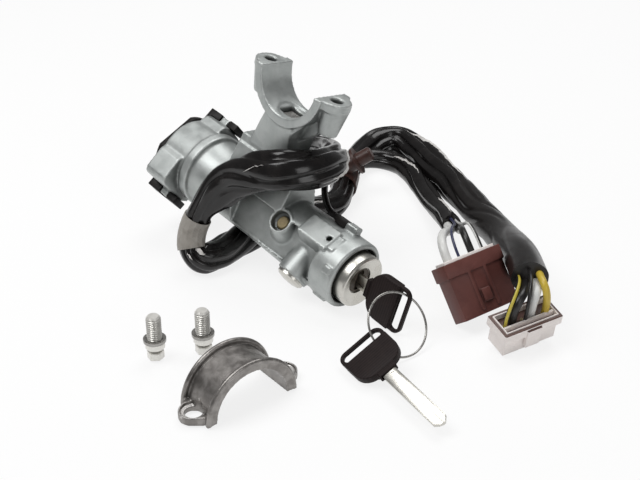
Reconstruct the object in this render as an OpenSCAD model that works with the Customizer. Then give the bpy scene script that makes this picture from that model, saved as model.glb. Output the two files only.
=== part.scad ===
// Ignition switch with steering lock, keys, clamp cap and wiring harness.
// All lengths are in millimetres. The lock lies on its side as on a table, z up.
// The lock itself is drawn in its own frame: x along the barrel to the key,
// y along the steering column, z up the neck to the column saddle.

/* [Lock body] */
// radius of the switch drum
drum_r = 21.6; // [21.4:0.1:21.8]
// radius of the raised band beside the drum
band_r = 23; // [22.8:0.1:23.2]
// radius of the barrel beside the tower
barrel_r = 18; // [17.8:0.1:18.2]
// radius of the key end of the barrel
key_drum_r = 20; // [19.8:0.1:20.2]
// depth of the switch cavity in the drum
cavity_depth = 20; // [19.8:0.1:20.2]
// radius of the hole for the cylinder sleeve
sleeve_bore_r = 10.6; // [10.5:0.05:10.7]
// distance from the barrel axis to the floor of the side pocket
pocket_floor = 12.3; // [12.1:0.1:12.5]
// radius of the rim of the pin boss
pin_boss_r = 7.3; // [7.1:0.1:7.5]
// radius of the cross boss under the barrel
cross_boss_r = 9.5; // [9.3:0.1:9.7]

/* [Column saddle] */
// radius of the steering column that the saddle takes
column_r = 20.75; // [20.5:0.05:20.9]
// height of the column axis above the barrel axis
column_height = 84.5; // [84.2:0.1:84.8]
// wall of the saddle ring
saddle_wall = 4.45; // [4.2:0.05:4.7]
// length of the saddle along the column
saddle_length = 24.4; // [24:0.1:24.6]
// distance from the column axis to each ear hole
ear_hole_x = 26.9; // [26.7:0.1:27.1]
// radius of the tapped ear hole
ear_hole_r = 3.35; // [3.3:0.05:3.45]
// thickness of the ears
ear_thickness = 5; // [4.8:0.1:5.4]

/* [Lock bolt] */
// width of the lock bolt along the barrel
bolt_width = 12.4; // [12:0.1:12.6]
// depth of the lock bolt along the column
bolt_depth = 10; // [9.8:0.1:10.2]
// clearance all round the lock bolt
bolt_gap = 0.3; // [0.25:0.05:0.4]
// travel of the lock bolt
bolt_travel = 8; // [7.5:0.1:8.2]

/* [Cylinder] */
// radius of the lock plug
plug_r = 7.45; // [7.4:0.05:7.5]
// running clearance round the lock plug
plug_gap = 0.05; // [0.04:0.01:0.08]
// outer radius of the nickel bezel
bezel_r = 15.5; // [15.3:0.1:15.7]
// number of wafers
wafer_count = 6; // [4:1:7]

/* [Keys] */
// length of the bow from shoulder to far end
bow_length = 29.4; // [29.2:0.1:29.8]
// thickness of the bow
bow_thickness = 4.8; // [4.5:0.1:4.9]
// width of the slot in the bow
slot_width = 5.6; // [5.5:0.1:5.8]
// thickness of the key blade
blade_thickness = 2.2; // [2:0.1:2.3]
// height of the key blade
blade_height = 8; // [7.6:0.1:8.1]
// mean radius of the key ring
ring_r = 17.5; // [17.4:0.1:17.6]
// radius of the key ring wire
ring_wire_r = 0.6; // [0.5:0.05:0.65]

/* [Clamp cap] */
// thickness of the clamp cap sheet
cap_sheet = 3; // [2.8:0.1:3.2]
// width of the clamp cap along the column
cap_width = 24; // [23.6:0.1:24.4]
// radius of the shear bolt thread
thread_r = 4; // [3.95:0.01:4]
// length of the shear bolt below its head
thread_length = 15.2; // [14.8:0.1:15.6]

/* [Harness] */
// diameter of the harness trunk
trunk_d = 15; // [14.4:0.2:15.2]
// diameter of the branch sleeve
branch_d = 10; // [9.8:0.1:10]
// diameter of the thick wires
thick_wire_d = 5; // [4.8:0.1:5]
// diameter of the thin wires
thin_wire_d = 2; // [1.8:0.1:2]
// length of connector A
con_a_length = 38; // [37:0.5:38.5]
// length of connector B
con_b_length = 36; // [35.5:0.5:36.5]

/* [Hidden] */
$fn = 48;
slack = 0.05;
seat = 0.1;
lock_pos = [-9.2, 47.6, 32.1];
lock_turn = [-11, 10, -46.5];

drum_end = -74;
cavity_r = drum_r - 2.6;
cavity_end = drum_end + cavity_depth;
band_x = drum_end + 20.7;
band_width = 5.6;
key_end = 73;
recess_x = 67;
recess_r = bezel_r + 1.5;
shaft_r = 4;
shaft_bore_r = shaft_r + 1.2;
chamber_r = 9.5;
chamber_x0 = 8;
chamber_x1 = 26;
clip_angles = [-50, 130];
clip_flat = 25.8;
lug_x0 = drum_end + 7.2;
lug_x1 = drum_end + 13.4;
leg_x = drum_end + 21;
cover_arm = clip_flat + 0.2;
leg_sheet = 4.2;
lug_top = cover_arm + leg_sheet - 0.5;
grommet_x = drum_end + 11;
rotor_x0 = drum_end + 6;
rotor_x1 = cavity_end - 3;
grommet_r = 8.5;
nozzle_y = drum_r + 1.9;
trunk_y = drum_r + 5.4;
trunk_r = trunk_d / 2;
branch_r = branch_d / 2;
sleeve_in_r = (trunk_r + seat) / cos(180 / 16);

saddle_r = column_r + saddle_wall;
saddle_y = saddle_length / 2;
saddle_low = column_height - saddle_r;
ear_low = column_height - ear_thickness;
post_low = column_height - 20.5;
channel = [bolt_width + 2 * bolt_gap, bolt_depth + 2 * bolt_gap];
channel_z = 10;
bolt_low = 14;
bolt_top = column_height - column_r - 2.25;
spring_r = 2.9;
spring_wire = 0.45;
spring_bore_r = spring_r + 0.3;
spring_top = 31.8;

sleeve_r = sleeve_bore_r - seat;
plug_bore_r = plug_r + plug_gap;
plug_x0 = 30;
plug_x1 = 76.5;
flange_r = bezel_r - 1.5;
wafer_x0 = 44;
wafer_pitch = 4.2;
wafer_sheet = 1;
wafer_y = 4;
wafer_z = 5.8;
keyway = [blade_thickness + 0.4, blade_height + 0.8];

bow_x = 83;
slot_x = bow_x + 24.6;
slot_half = 11.8;
tip_x = slot_x - 70;
blade_root = bow_x + 9.5;
strap_thickness = bow_thickness / 2;
strap_u = 21.5;
shoulder = [12, 4.6, 9];
corner = [bow_length - 5, 8.8, 5];

spare_pos = [43.25, -57.93, 9.29];
spare_turn = [28.45, 2.22, -58.52];
ring_pos = [61.89, -43.28, 13.75];
ring_turn = [0, 48.24, -52.62];

cap_pos = [-18.7, -87, 0];
cap_yaw = 38.2;
cap_in_r = column_r + 0.15;
cap_r = cap_in_r + cap_sheet;
cap_y = cap_width / 2;
shear_left_pos = [-63.9, -53.1, 0];
shear_right_pos = [-39.4, -47.7, 0];
head_top = 10.3;
washer_sheet = 1.6;

con_a_pos = [112.2, -18.8, 5.8];
con_a_turn = [-38.5, -3.8, 32.1];
con_a_depth = 14;
con_a_height = 32;
con_b_pos = [127.4, -40, 3.5];
con_b_turn = [13, -4, 28];
con_b_depth = 17;
con_b_height = 17;

trunk_route = [
    [-16.1, 122, 37.5], [-0.6, 114.5, 41.5], [11.4, 100.5, 46.6], [21, 82.2, 53.8], [27.6, 58.9, 61.4],
    [27.1, 38.9, 67], [18, 24.9, 70.6], [1.8, 20.5, 71.6], [-13.8, 29.1, 66.4], [-30.4, 38.1, 54.5],
    [-44.2, 41.3, 39], [-51.6, 41.1, 24.5], [-52.6, 36, 14], [-46.6, 33.7, 8.6], [-36.6, 41.5, 7.8],
    [-21.6, 61.2, 7.7], [-2.6, 78.5, 7.7], [16.4, 89.5, 7.7], [30.4, 103.5, 7.7], [36.4, 125.5, 7.7],
    [41.9, 156.5, 7.7], [56.4, 186.5, 7.7], [75.4, 193.5, 7.7], [90.4, 172.5, 7.7], [100.4, 144.5, 7.7],
    [117.4, 96.5, 7.9], [127.4, 48.3, 15.4], [131.4, 5.5, 27.4], [131.4, -29.1, 33.6]];
branch_route = [
    [45.9, 166.5, 7.5], [56.4, 170.5, 6.4], [66.4, 169.5, 5.6], [76.4, 161.5, 5.4], [83.4, 145.5, 5.4],
    [89.4, 121.5, 5.6], [94.4, 96.5, 8], [99.9, 64.5, 14]];

// Points and directions
function turn_x(p, a) = [p.x, p.y * cos(a) - p.z * sin(a), p.y * sin(a) + p.z * cos(a)];
function turn_y(p, a) = [p.x * cos(a) + p.z * sin(a), p.y, p.z * cos(a) - p.x * sin(a)];
function turn_z(p, a) = [p.x * cos(a) - p.y * sin(a), p.x * sin(a) + p.y * cos(a), p.z];
function turned(p, t) = turn_z(turn_y(turn_x(p, t.x), t.y), t.z);
function lock_point(p) = lock_pos + turned(p, lock_turn);
function unit(v) = v / norm(v);

// A smooth line through points, with n steps between two points
function bend(a, b, c, d, t) =
    0.5 * (2 * b + (c - a) * t + (2 * a - 5 * b + 4 * c - d) * t * t + (3 * b - a - 3 * c + d) * t * t * t);
function bend_at(p, i, t) = bend(p[max(i - 1, 0)], p[i], p[i + 1], p[min(i + 2, len(p) - 1)], t);
function smooth(p, n) = concat([for (i = [0:len(p) - 2], k = [0:n - 1]) bend_at(p, i, k / n)], [p[len(p) - 1]]);
function heading(p, i) = unit(p[min(i + 1, len(p) - 1)] - p[max(i - 1, 0)]);
function square_to(v, t) = unit(v - (v * t) * t);
function first_side(t) = square_to(abs(t.z) < 0.8 ? [0, 0, 1] : [1, 0, 0], t);
function sides(p, i = 0, acc = []) = i == len(p) ? acc
    : sides(p, i + 1, concat(acc, [i == 0 ? first_side(heading(p, 0)) : square_to(acc[i - 1], heading(p, i))]));
function span(p, a, b) = [for (i = [a:b]) p[i]];
function longer(p, by) = let(n = len(p) - 1)
    concat([p[0] - by * heading(p, 0)], p, [p[n] + by * heading(p, n)]);

// A curve from a to b that leaves along u and arrives against v
function arc_point(a, u, b, v, t) =
    pow(1 - t, 3) * a + 3 * t * pow(1 - t, 2) * (a + u) + 3 * t * t * (1 - t) * (b + v) + pow(t, 3) * b;
function arc(a, u, b, v, n) = [for (i = [0:n]) arc_point(a, u, b, v, i / n)];

trunk_start = lock_point([grommet_x, trunk_y + slack, 0]);
trunk_path = concat([trunk_start], smooth(concat([lock_point([grommet_x, trunk_y + 3, 0])], trunk_route), 4));
trunk_end = trunk_path[len(trunk_path) - 1];
trunk_aim = heading(trunk_path, len(trunk_path) - 1);
branch_path = smooth(branch_route, 4);
branch_end = branch_path[len(branch_path) - 1];
branch_aim = heading(branch_path, len(branch_path) - 1);
tape_path = span(trunk_path, 47, 53);
clip_path = span(trunk_path, 81, 83);
clip_mid = clip_path[1];

// A round tube along a path
module tube(path, r, n) {
    s = sides(path);
    t = [for (i = [0:len(path) - 1]) heading(path, i)];
    rings = [for (i = [0:len(path) - 1], k = [0:n - 1])
        path[i] + r * (cos(360 * k / n) * s[i] + sin(360 * k / n) * cross(t[i], s[i]))];
    last = (len(path) - 1) * n;
    low = [[for (k = [0:n - 1]) k]];
    high = [[for (k = [n - 1:-1:0]) last + k]];
    wall_a = [for (i = [0:len(path) - 2], k = [0:n - 1]) [i * n + k, i * n + n + k, i * n + n + (k + 1) % n]];
    wall_b = [for (i = [0:len(path) - 2], k = [0:n - 1]) [i * n + k, i * n + n + (k + 1) % n, i * n + (k + 1) % n]];
    polyhedron(points = rings, faces = concat(low, wall_a, wall_b, high));
}

// A sleeve round the trunk along part of its path
module trunk_sleeve(path, wall) {
    difference() {
        tube(path, sleeve_in_r + wall, 16);
        tube(longer(path, 2), sleeve_in_r, 16);
    }
}

module in_lock() {
    translate(lock_pos) rotate(lock_turn) children();
}

// Out of the barrel at angle a, where 0 is the near side and 90 the neck side
module outward(x, a) {
    translate([x, 0, 0]) rotate([90 - a, 0, 0]) children();
}

module rod(x0, x1, r) {
    translate([x0, 0, 0]) rotate([0, 90, 0]) cylinder(h = x1 - x0, r = r);
}

module block(x0, x1, y0, y1, z0, z1) {
    translate([x0, y0, z0]) cube([x1 - x0, y1 - y0, z1 - z0]);
}

module lathe(profile) {
    rotate([0, 90, 0]) rotate_extrude() polygon(profile);
}

module prism_x(x0, x1, outline) {
    translate([x0, 0, 0]) rotate([90, 0, 90]) linear_extrude(x1 - x0) polygon(outline);
}

module prism_y(half, outline) {
    rotate([90, 0, 0]) linear_extrude(2 * half, center = true) polygon(outline);
}

module both_ears() {
    children();
    mirror([1, 0, 0]) children();
}

module barrel() {
    step_x = band_x + band_width;
    lathe([[0, drum_end], [drum_r - 0.6, drum_end], [drum_r, drum_end + 0.6], [drum_r, band_x - 0.5],
        [band_r - 0.4, band_x - 0.5], [band_r, band_x], [band_r, step_x - 0.5], [band_r - 0.5, step_x],
        [barrel_r + 2.6, step_x + 0.5], [barrel_r + 1, step_x + 8], [barrel_r, step_x + 16],
        [barrel_r, 0], [key_drum_r - 0.4, 57], [key_drum_r, 57], [key_drum_r, key_end - 1],
        [key_drum_r - 1, key_end], [0, key_end]]);
}

module tower() {
    foot_y = barrel_r * 0.895;
    foot_z = barrel_r * 0.446;
    prism_x(-27.5, 21, [[-foot_y, foot_z], [-6.5, 39], [6.5, 39], [foot_y, foot_z], [0, -2]]);
    outward(0, 17.2) block(-27, -3, 4.5, 30, barrel_r - 4, barrel_r + 0.55);
}

module neck() {
    top = saddle_low + 6;
    intersection() {
        translate([0, 0, 37]) cylinder(h = top - 37, r1 = 21.2, r2 = 14.5);
        prism_x(-22, 22, [[-7, 36], [7, 36], [11.5, 58], [11.5, top], [-11.5, top], [-11.5, 58]]);
        prism_y(14, [[-22, 36], [10.8, 36], [10.8, 54], [15.5, top + 1], [-22, top + 1]]);
    }
}

module saddle() {
    translate([0, 0, column_height]) rotate([90, 0, 0]) cylinder(h = saddle_length, r = saddle_r, center = true);
    for (s = [-1, 1]) translate([0, s * (saddle_y - 0.6), column_height]) rotate([90, 0, 0])
        cylinder(h = 1.2, r = saddle_r + 0.8, center = true);
    both_ears() {
        translate([0, 0, ear_low]) linear_extrude(ear_thickness) polygon([[17, -12], [21, -12], [29, -9],
            [32.6, -6.6], [34.2, -3.6], [34.6, 0], [34.2, 3.6], [32.6, 6.6], [29, 9], [21, 12], [17, 12]]);
        translate([ear_hole_x, 0, post_low]) cylinder(h = ear_low - post_low + 1, r1 = 5.2, r2 = 8.4);
        prism_y(3.5, [[5, 46], [9.4, 50.4], [20, 59.4], [24.4, 63.6], [24.4, ear_low + 1], [5, 70]]);
    }
    block(-28, -26, -9, -7, 74, ear_low + 1);
}

module saddle_cuts() {
    translate([0, 0, column_height]) rotate([90, 0, 0]) cylinder(h = saddle_length + 10, r = column_r, center = true);
    block(-40, 40, -20, 20, column_height, column_height + 40);
    both_ears() {
        translate([ear_hole_x, 0, post_low - 1]) cylinder(h = 30, r = ear_hole_r);
        translate([ear_hole_x, 0, column_height - 0.7]) cylinder(h = 1.4, r1 = ear_hole_r, r2 = ear_hole_r + 1.4);
    }
    intersection() {
        translate([0, 0, saddle_low]) cylinder(h = 20, r = 9.3);
        translate([0, 0, column_height]) rotate([90, 0, 0]) cylinder(h = 30, r = column_r + 0.6, center = true);
    }
    translate([0, 0, channel_z + 40]) cube([channel.x, channel.y, 80], center = true);
    block(channel.x / 2 - 1, 20, -3.2, 3.2, channel_z - 2, channel_z + 18);
}

module clip_bosses() {
    for (a = clip_angles) outward(0, a) {
        wide = a < 0 ? 22 : 12;
        prism_x(drum_end + 0.3, drum_end + 17.5, [[-12, 4], [wide - 2, 4], [wide, 9.5], [wide - 1, 22.8],
            [wide - 2.6, clip_flat - 0.6], [wide - 5, clip_flat], [-5, clip_flat], [-9, clip_flat - 2], [-12, 16]]);
        side = a < 0 ? [-2.3, 4.6] : [-4.6, 2.3];
        block(lug_x0, lug_x1, side.x, side.y, clip_flat - 1, lug_top);
    }
}

module side_pocket() {
    outward(0, 10) block(-12, 56, -12.5, 10.5, pocket_floor, 40);
}

module barrel_details() {
    outward(24, 35) cylinder(h = 18.8, r1 = 14, r2 = pin_boss_r);
    outward(43, -48) translate([0, 1.8, 0]) cylinder(h = 21.4, r = cross_boss_r);
    outward(0, 58) block(38, 60, -6.8, 6.8, 12, key_drum_r + 1);
    outward(0, 58) block(60, 64, -5, 5, 12, key_drum_r + 0.3);
    outward(0, 104) block(55, 63, -3, 3, 14, key_drum_r + 4);
    outward(0, 17) block(66, 70.5, -2.3, 2.3, 14, key_drum_r + 1.5);
    outward(0, -50) block(59, 68, -1, 1, 14, key_drum_r + 1.2);
    outward(0, 100) block(3, 20.4, -8.5, 8.5, 10, barrel_r + 2.4);
    translate([grommet_x, 0, 0]) rotate([-90, 0, 0]) cylinder(h = nozzle_y, r = grommet_r + 2.1);
}

module lock_bores() {
    rod(drum_end - 1, cavity_end, cavity_r);
    rod(cavity_end - 1, chamber_x0 + 1, shaft_bore_r);
    rod(chamber_x0, chamber_x1, chamber_r);
    rod(chamber_x1 - 1, recess_x + 1, sleeve_bore_r);
    rod(recess_x, key_end + 1, recess_r);
    translate([grommet_x, 0, 0]) rotate([-90, 0, 0]) cylinder(h = nozzle_y + 5, r = grommet_r + seat);
    outward(24, 35) translate([0, 0, 10.9]) cylinder(h = 20, r = 3.85);
    outward(24, 35) translate([0, 0, 14.6]) cylinder(h = 20, r = pin_boss_r - 1.6);
    outward(57, 58) translate([0, 0, 15.5]) cylinder(h = 10, r = 1.6);
    outward(43, -48) translate([0, 1.8, 13.9]) cylinder(h = 20, r = shaft_r + slack);
}

module lock_body() {
    color("silver") in_lock() difference() {
        union() {
            difference() {
                union() {
                    barrel();
                    tower();
                }
                side_pocket();
            }
            neck();
            saddle();
            clip_bosses();
            barrel_details();
        }
        saddle_cuts();
        lock_bores();
    }
}

module switch_housing() {
    r = cavity_r - 0.2;
    color("dimgray") in_lock() difference() {
        rod(drum_end + 0.2, cavity_end - 2, r);
        rod(drum_end + 2, cavity_end, r - 4.8);
        for (a = [30, 150, 270]) outward(0, a) translate([0, 0, 9]) rod(drum_end, drum_end + 3, 1.25);
        translate([grommet_x, 0, 0]) rotate([-90, 0, 0]) cylinder(h = 30, r = 5);
    }
}

module cover_outline() {
    difference() {
        circle(drum_r + 0.4);
        rotate(127) translate([cavity_r - 0.8, -30]) square([20, 60]);
    }
    for (a = clip_angles) rotate(180 - a) translate([10, -5]) square([cover_arm + leg_sheet - 10, 10]);
}

module switch_cover() {
    x0 = drum_end - 3.5;
    x1 = drum_end - slack;
    color("black") in_lock() difference() {
        union() {
            translate([x0, 0, 0]) rotate([90, 0, 90]) linear_extrude(x1 - x0) cover_outline();
            for (a = clip_angles) outward(0, a) block(x0 + 1, leg_x, -5, 5, cover_arm, cover_arm + leg_sheet);
        }
        for (a = clip_angles) outward(0, a) {
            side = a < 0 ? [-2.8, 6] : [-6, 2.8];
            block(lug_x0 - 0.5, lug_x1 + 0.5, side.x, side.y, cover_arm - 1, cover_arm + leg_sheet + 1);
        }
        for (a = [30, 150, 270]) outward(0, a) translate([0, 0, 9]) rod(x0 - 1, x1 + 1, 1.25);
    }
}

module switch_contacts() {
    color("gold") in_lock() for (a = [30, 150, 270]) outward(0, a) translate([0, 0, 9]) {
        rod(drum_end - 3, drum_end + 2, 1.2);
        rod(drum_end + 2, drum_end + 3.8, 2.6);
    }
}

module switch_rotor() {
    color("ivory") in_lock() difference() {
        rod(rotor_x0, rotor_x1, cavity_r - 5.5);
        block(rotor_x0 + 2.5, rotor_x1 + 1, -1.4, 1.4, -3.75, 3.75);
    }
}

module rotor_contact() {
    color("gold") in_lock() difference() {
        rod(rotor_x0 - 1.6, rotor_x0 - slack / 2, 12);
        rod(rotor_x0 - 2, rotor_x0 + 1, 6);
        outward(0, 90) block(rotor_x0 - 2, rotor_x0 + 1, -2.5, 2.5, 0, 14);
    }
}

module tailpiece() {
    color("darkgray") in_lock() {
        block(rotor_x0 + 3, rotor_x1 + 0.6, -1.3, 1.3, -3.6, 3.6);
        rod(rotor_x1 + 0.5, 24, shaft_r);
        rod(12, 19, shaft_r + 1.5);
        translate([0, 4, 0]) rod(12, 19, 5);
        block(23.9, plug_x0 + 3, -1.2, 1.2, -3.4, 3.4);
    }
}

module lock_plug() {
    color("lightgray") in_lock() difference() {
        rod(plug_x0, plug_x1, plug_r);
        block(plug_x0 - 1, plug_x0 + 3.5, -1.3, 1.3, -3.6, 3.6);
        block(tip_x - 1, plug_x1 + 1, -keyway.x / 2, keyway.x / 2, -keyway.y / 2, keyway.y / 2);
        for (i = [0:wafer_count - 1]) {
            x = wafer_x0 + i * wafer_pitch;
            block(x - 0.1, x + wafer_sheet + 0.1, -wafer_y - 0.15, wafer_y + 0.15, -wafer_z - 0.15, wafer_z + 0.15);
        }
        block(plug_x1 - 1.2, plug_x1 + 1, -2.6, 2.6, -3.8, 3.8);
        for (s = [-1, 1]) translate([0, 0, s * 3.8]) rod(plug_x1 - 1.2, plug_x1 + 1, 2.6);
    }
}

module wafers() {
    color("gold") in_lock() for (i = [0:wafer_count - 1]) {
        x = wafer_x0 + i * wafer_pitch;
        difference() {
            block(x, x + wafer_sheet, -wafer_y, wafer_y, -wafer_z, wafer_z);
            block(x - 1, x + 3, -keyway.x / 2 - 0.1, keyway.x / 2 + 0.1, -blade_height / 2 - 0.3, blade_height / 2 + 0.3);
        }
    }
}

module cylinder_sleeve() {
    color("darkgray") in_lock() difference() {
        union() {
            rod(chamber_x1 + 0.5, recess_x + 1, sleeve_r);
            rod(recess_x + slack, 76, flange_r);
        }
        rod(chamber_x1, 77, plug_bore_r);
    }
}

module cylinder_bezel() {
    hole_r = plug_r + 0.55;
    inner_r = flange_r + seat;
    color("gainsboro") in_lock() lathe([[inner_r, recess_x + 0.2], [bezel_r, recess_x + 0.2], [bezel_r, 78.3],
        [bezel_r - 0.5, 79.2], [bezel_r - 1.2, 79.5], [bezel_r - 1.7, 79.3], [hole_r + 0.3, 77.3], [hole_r, 77.2],
        [hole_r, 76 + seat], [inner_r, 76 + seat]]);
}

module retainer_pin() {
    color("goldenrod") in_lock() outward(24, 35) {
        translate([0, 0, 11]) cylinder(h = 4, r = 3.8);
        translate([0, 0, 15]) cylinder(h = 0.6, r1 = 3.8, r2 = 3.1);
    }
}

module cross_plug() {
    base = 21.4 + slack;
    color("gainsboro") in_lock() outward(43, -48) translate([0, 1.8, 0]) {
        translate([0, 0, 14]) cylinder(h = base - 14 + 1, r = shaft_r);
        translate([0, 0, base]) cylinder(h = 1.4, r = cross_boss_r - 1.2);
        translate([0, 0, base + 1.4]) cylinder(h = 1.2, r1 = cross_boss_r - 1.2, r2 = cross_boss_r - 2.6);
        translate([0, 0, base + 2.6]) cylinder(h = 0.7, r1 = cross_boss_r - 2.6, r2 = cross_boss_r - 5.5);
    }
}

module warning_switch() {
    color("black") in_lock() outward(0, 104) {
        block(47, 55 - slack, -2.6, 2.6, key_drum_r - 0.3, key_drum_r + 3.6);
        translate([0, 0, 22]) rod(45.5, 47.5, 2.2);
    }
}

module lock_bolt() {
    w = bolt_width / 2;
    d = bolt_depth / 2;
    color("gray") in_lock() difference() {
        union() {
            block(-w, w, -d, d, bolt_low, bolt_top - 1);
            block(-w + 0.8, w - 0.8, -d + 0.8, d - 0.8, bolt_top - 2, bolt_top);
            block(w - 1, 19, -2.8, 2.8, bolt_low, bolt_low + 4);
        }
        translate([0, 0, bolt_low - 1]) cylinder(h = spring_top - bolt_low + 1.1, r = spring_bore_r);
    }
}

module bolt_spring() {
    coils = 6;
    z0 = channel_z + spring_wire + 0.05;
    pitch = (spring_top - spring_wire - z0) / coils;
    helix = [for (i = [0:coils * 10]) let(a = 36 * i)
        [(spring_r - spring_wire) * cos(a), (spring_r - spring_wire) * sin(a), z0 + pitch * i / 10]];
    color("silver") in_lock() tube(helix, spring_wire, 6);
}

module harness_grommet() {
    inner = cavity_r + 0.1;
    color("black") in_lock() translate([grommet_x, 0, 0]) rotate([-90, 0, 0]) difference() {
        union() {
            translate([0, 0, inner]) cylinder(h = nozzle_y - inner + 1, r = grommet_r);
            translate([0, 0, nozzle_y + slack]) cylinder(h = 2, r = grommet_r + 1.9);
            translate([0, 0, nozzle_y + 1]) cylinder(h = trunk_y - nozzle_y - 1, r1 = grommet_r + 0.5, r2 = grommet_r - 0.6);
        }
        translate([0, 0, inner - 1]) cylinder(h = trunk_y, r = 6);
    }
}

// Keys, drawn in the frame of the lock
module bow_outline() {
    d = [corner.x - shoulder.x, corner.y - shoulder.y];
    a = atan2(d.y, d.x) + acos((shoulder.z - corner.z) / norm(d));
    p = [shoulder.x + shoulder.z * cos(a), shoulder.y + shoulder.z * sin(a)];
    q = [corner.x + corner.z * cos(a), corner.y + corner.z * sin(a)];
    half = [[shoulder.x - shoulder.z, shoulder.y], [shoulder.x, shoulder.y], p, q, [corner.x, corner.y],
        [corner.x + corner.z, corner.y]];
    polygon(concat(half, [for (i = [len(half) - 1:-1:0]) [half[i].x, -half[i].y]]));
    for (s = [-1, 1]) {
        translate([shoulder.x, s * shoulder.y]) circle(shoulder.z);
        translate([corner.x, s * corner.y]) circle(corner.z);
    }
}

module bow_slot() {
    r = slot_width / 2;
    translate([slot_x - bow_x, 0]) {
        square([slot_width, 2 * (slot_half - r)], center = true);
        for (s = [-1, 1]) translate([0, s * (slot_half - r)]) circle(r);
    }
}

module bow_shape() {
    y = blade_thickness / 2 + slack;
    z = blade_height / 2 + slack;
    difference() {
        translate([bow_x, 0, 0]) rotate([90, 0, 0]) {
            linear_extrude(strap_thickness, center = true) difference() {
                bow_outline();
                bow_slot();
            }
            linear_extrude(bow_thickness, center = true) difference() {
                intersection() {
                    bow_outline();
                    translate([0, -30]) square([strap_u, 60]);
                }
                bow_slot();
            }
            linear_extrude(bow_thickness - 0.6, center = true) translate([0, -5.4]) square([6, 10.8]);
        }
        block(bow_x - 1, blade_root + slack, -y, y, -z, z);
    }
}

module blade_shape() {
    y = blade_thickness / 2;
    z = blade_height / 2;
    difference() {
        prism_y(y, [[tip_x, -1.2], [tip_x + 3, -z], [blade_root, -z], [blade_root, z], [tip_x + 3, z], [tip_x, 1.2]]);
        block(tip_x - 1, bow_x - 1.5, y - 0.5, y + 1, 0.4, 1.8);
        block(tip_x - 1, bow_x - 1.5, -y - 1, 0.5 - y, -1.8, -0.4);
    }
}

module in_spare() {
    translate(spare_pos) rotate(spare_turn) rotate([90, 0, 180]) translate([-slot_x, 0, 0]) children();
}

module key_blade() {
    color("gainsboro") in_lock() blade_shape();
}

module key_bow() {
    color("black") in_lock() bow_shape();
}

module key_ring() {
    color("silver") translate(ring_pos) rotate(ring_turn) rotate_extrude() translate([ring_r, 0]) circle(ring_wire_r);
}

module spare_key_blade() {
    color("gainsboro") in_spare() blade_shape();
}

module spare_key_bow() {
    color("black") in_spare() bow_shape();
}

// Clamp cap and shear bolts, lying apart
module half_ring(r, y0, y1) {
    translate([0, y1, 0]) rotate([90, 0, 0]) cylinder(h = y1 - y0, r = r);
}

module cap_ear(grow, z) {
    linear_extrude(z) {
        translate([ear_hole_x, 0]) circle(7.6 + grow);
        polygon([[18, -cap_y], [23, -cap_y], [ear_hole_x + 3.4 + grow, -6.8 - grow],
            [ear_hole_x + 3.4 + grow, 6.8 + grow], [23, cap_y], [18, cap_y]]);
    }
}

module clamp_cap() {
    color("silver") translate(cap_pos) rotate([0, 0, cap_yaw]) difference() {
        union() {
            half_ring(cap_r, -cap_y, cap_y);
            half_ring(cap_r + 2.6, -cap_y, -cap_y + 2.2);
            half_ring(cap_r + 2.6, cap_y - 2.2, cap_y);
            both_ears() {
                cap_ear(0, cap_sheet);
                difference() {
                    cap_ear(0, cap_sheet + 1.6);
                    translate([ear_hole_x, 0, cap_sheet]) cylinder(h = 5, r = 6.6);
                    block(0, ear_hole_x, -6.2, 6.2, cap_sheet, cap_sheet + 5);
                }
            }
        }
        half_ring(cap_in_r, -40, 40);
        block(-60, 60, -40, 40, -60, 0);
        both_ears() translate([ear_hole_x, 0, -1]) cylinder(h = 20, r = thread_r + 0.5);
    }
}

module shear_bolt(pos) {
    color("silver") translate(pos) {
        cylinder(h = 4.4, r = 4.6, $fn = 6);
        translate([0, 0, 4.3]) cylinder(h = 1.6, r = 2.6);
        translate([0, 0, 5.6]) cylinder(h = 1, r1 = 3.6, r2 = 5.2);
        translate([0, 0, 6.6]) cylinder(h = head_top - 6.6, r = 5.2);
        translate([0, 0, head_top - 0.1]) cylinder(h = thread_length - 0.7, r = thread_r);
        translate([0, 0, head_top + thread_length - 0.8]) cylinder(h = 0.8, r1 = thread_r, r2 = thread_r - 0.8);
    }
}

module bolt_washer(pos) {
    color("silver") translate(pos) translate([0, 0, head_top + 0.02]) difference() {
        cylinder(h = washer_sheet, r = 6);
        translate([0, 0, -1]) cylinder(h = 5, r = thread_r + 0.2);
    }
}

module shear_bolt_left() {
    shear_bolt(shear_left_pos);
}

module shear_bolt_right() {
    shear_bolt(shear_right_pos);
}

module bolt_washer_left() {
    bolt_washer(shear_left_pos);
}

module bolt_washer_right() {
    bolt_washer(shear_right_pos);
}

// Harness
module harness_trunk() {
    color("black") tube(trunk_path, trunk_r, 14);
}

module harness_branch() {
    color("black") tube(branch_path, branch_r, 12);
}

module harness_tape() {
    color("gray") trunk_sleeve(tape_path, 0.5);
}

module harness_clip() {
    color("saddlebrown") difference() {
        union() {
            tube(clip_path, sleeve_in_r + 0.9, 16);
            translate([clip_mid.x, clip_mid.y, clip_mid.z + trunk_r + 3.4]) rotate([0, 58.5, 0]) {
                translate([0, 0, -3]) cylinder(h = 11, r = 5.4);
                translate([0, 0, 8]) cylinder(h = 1.6, r = 9);
                translate([0, 0, 9.5]) cylinder(h = 9, r = 4.7);
                translate([0, 0, 18.5]) cylinder(h = 1.2, r1 = 4.7, r2 = 3.4);
            }
        }
        tube(longer(clip_path, 6), sleeve_in_r, 16);
    }
}

module warning_lead() {
    path = [[45.4, 5.32, 21.35], [39, 6, 21.8], [31, 9.5, 24], [23, 15.5, 28], [13.5, 26, 35.2]];
    color("black") tube(smooth([for (p = path) lock_point(p)], 4), 1.9, 8);
}

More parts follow.
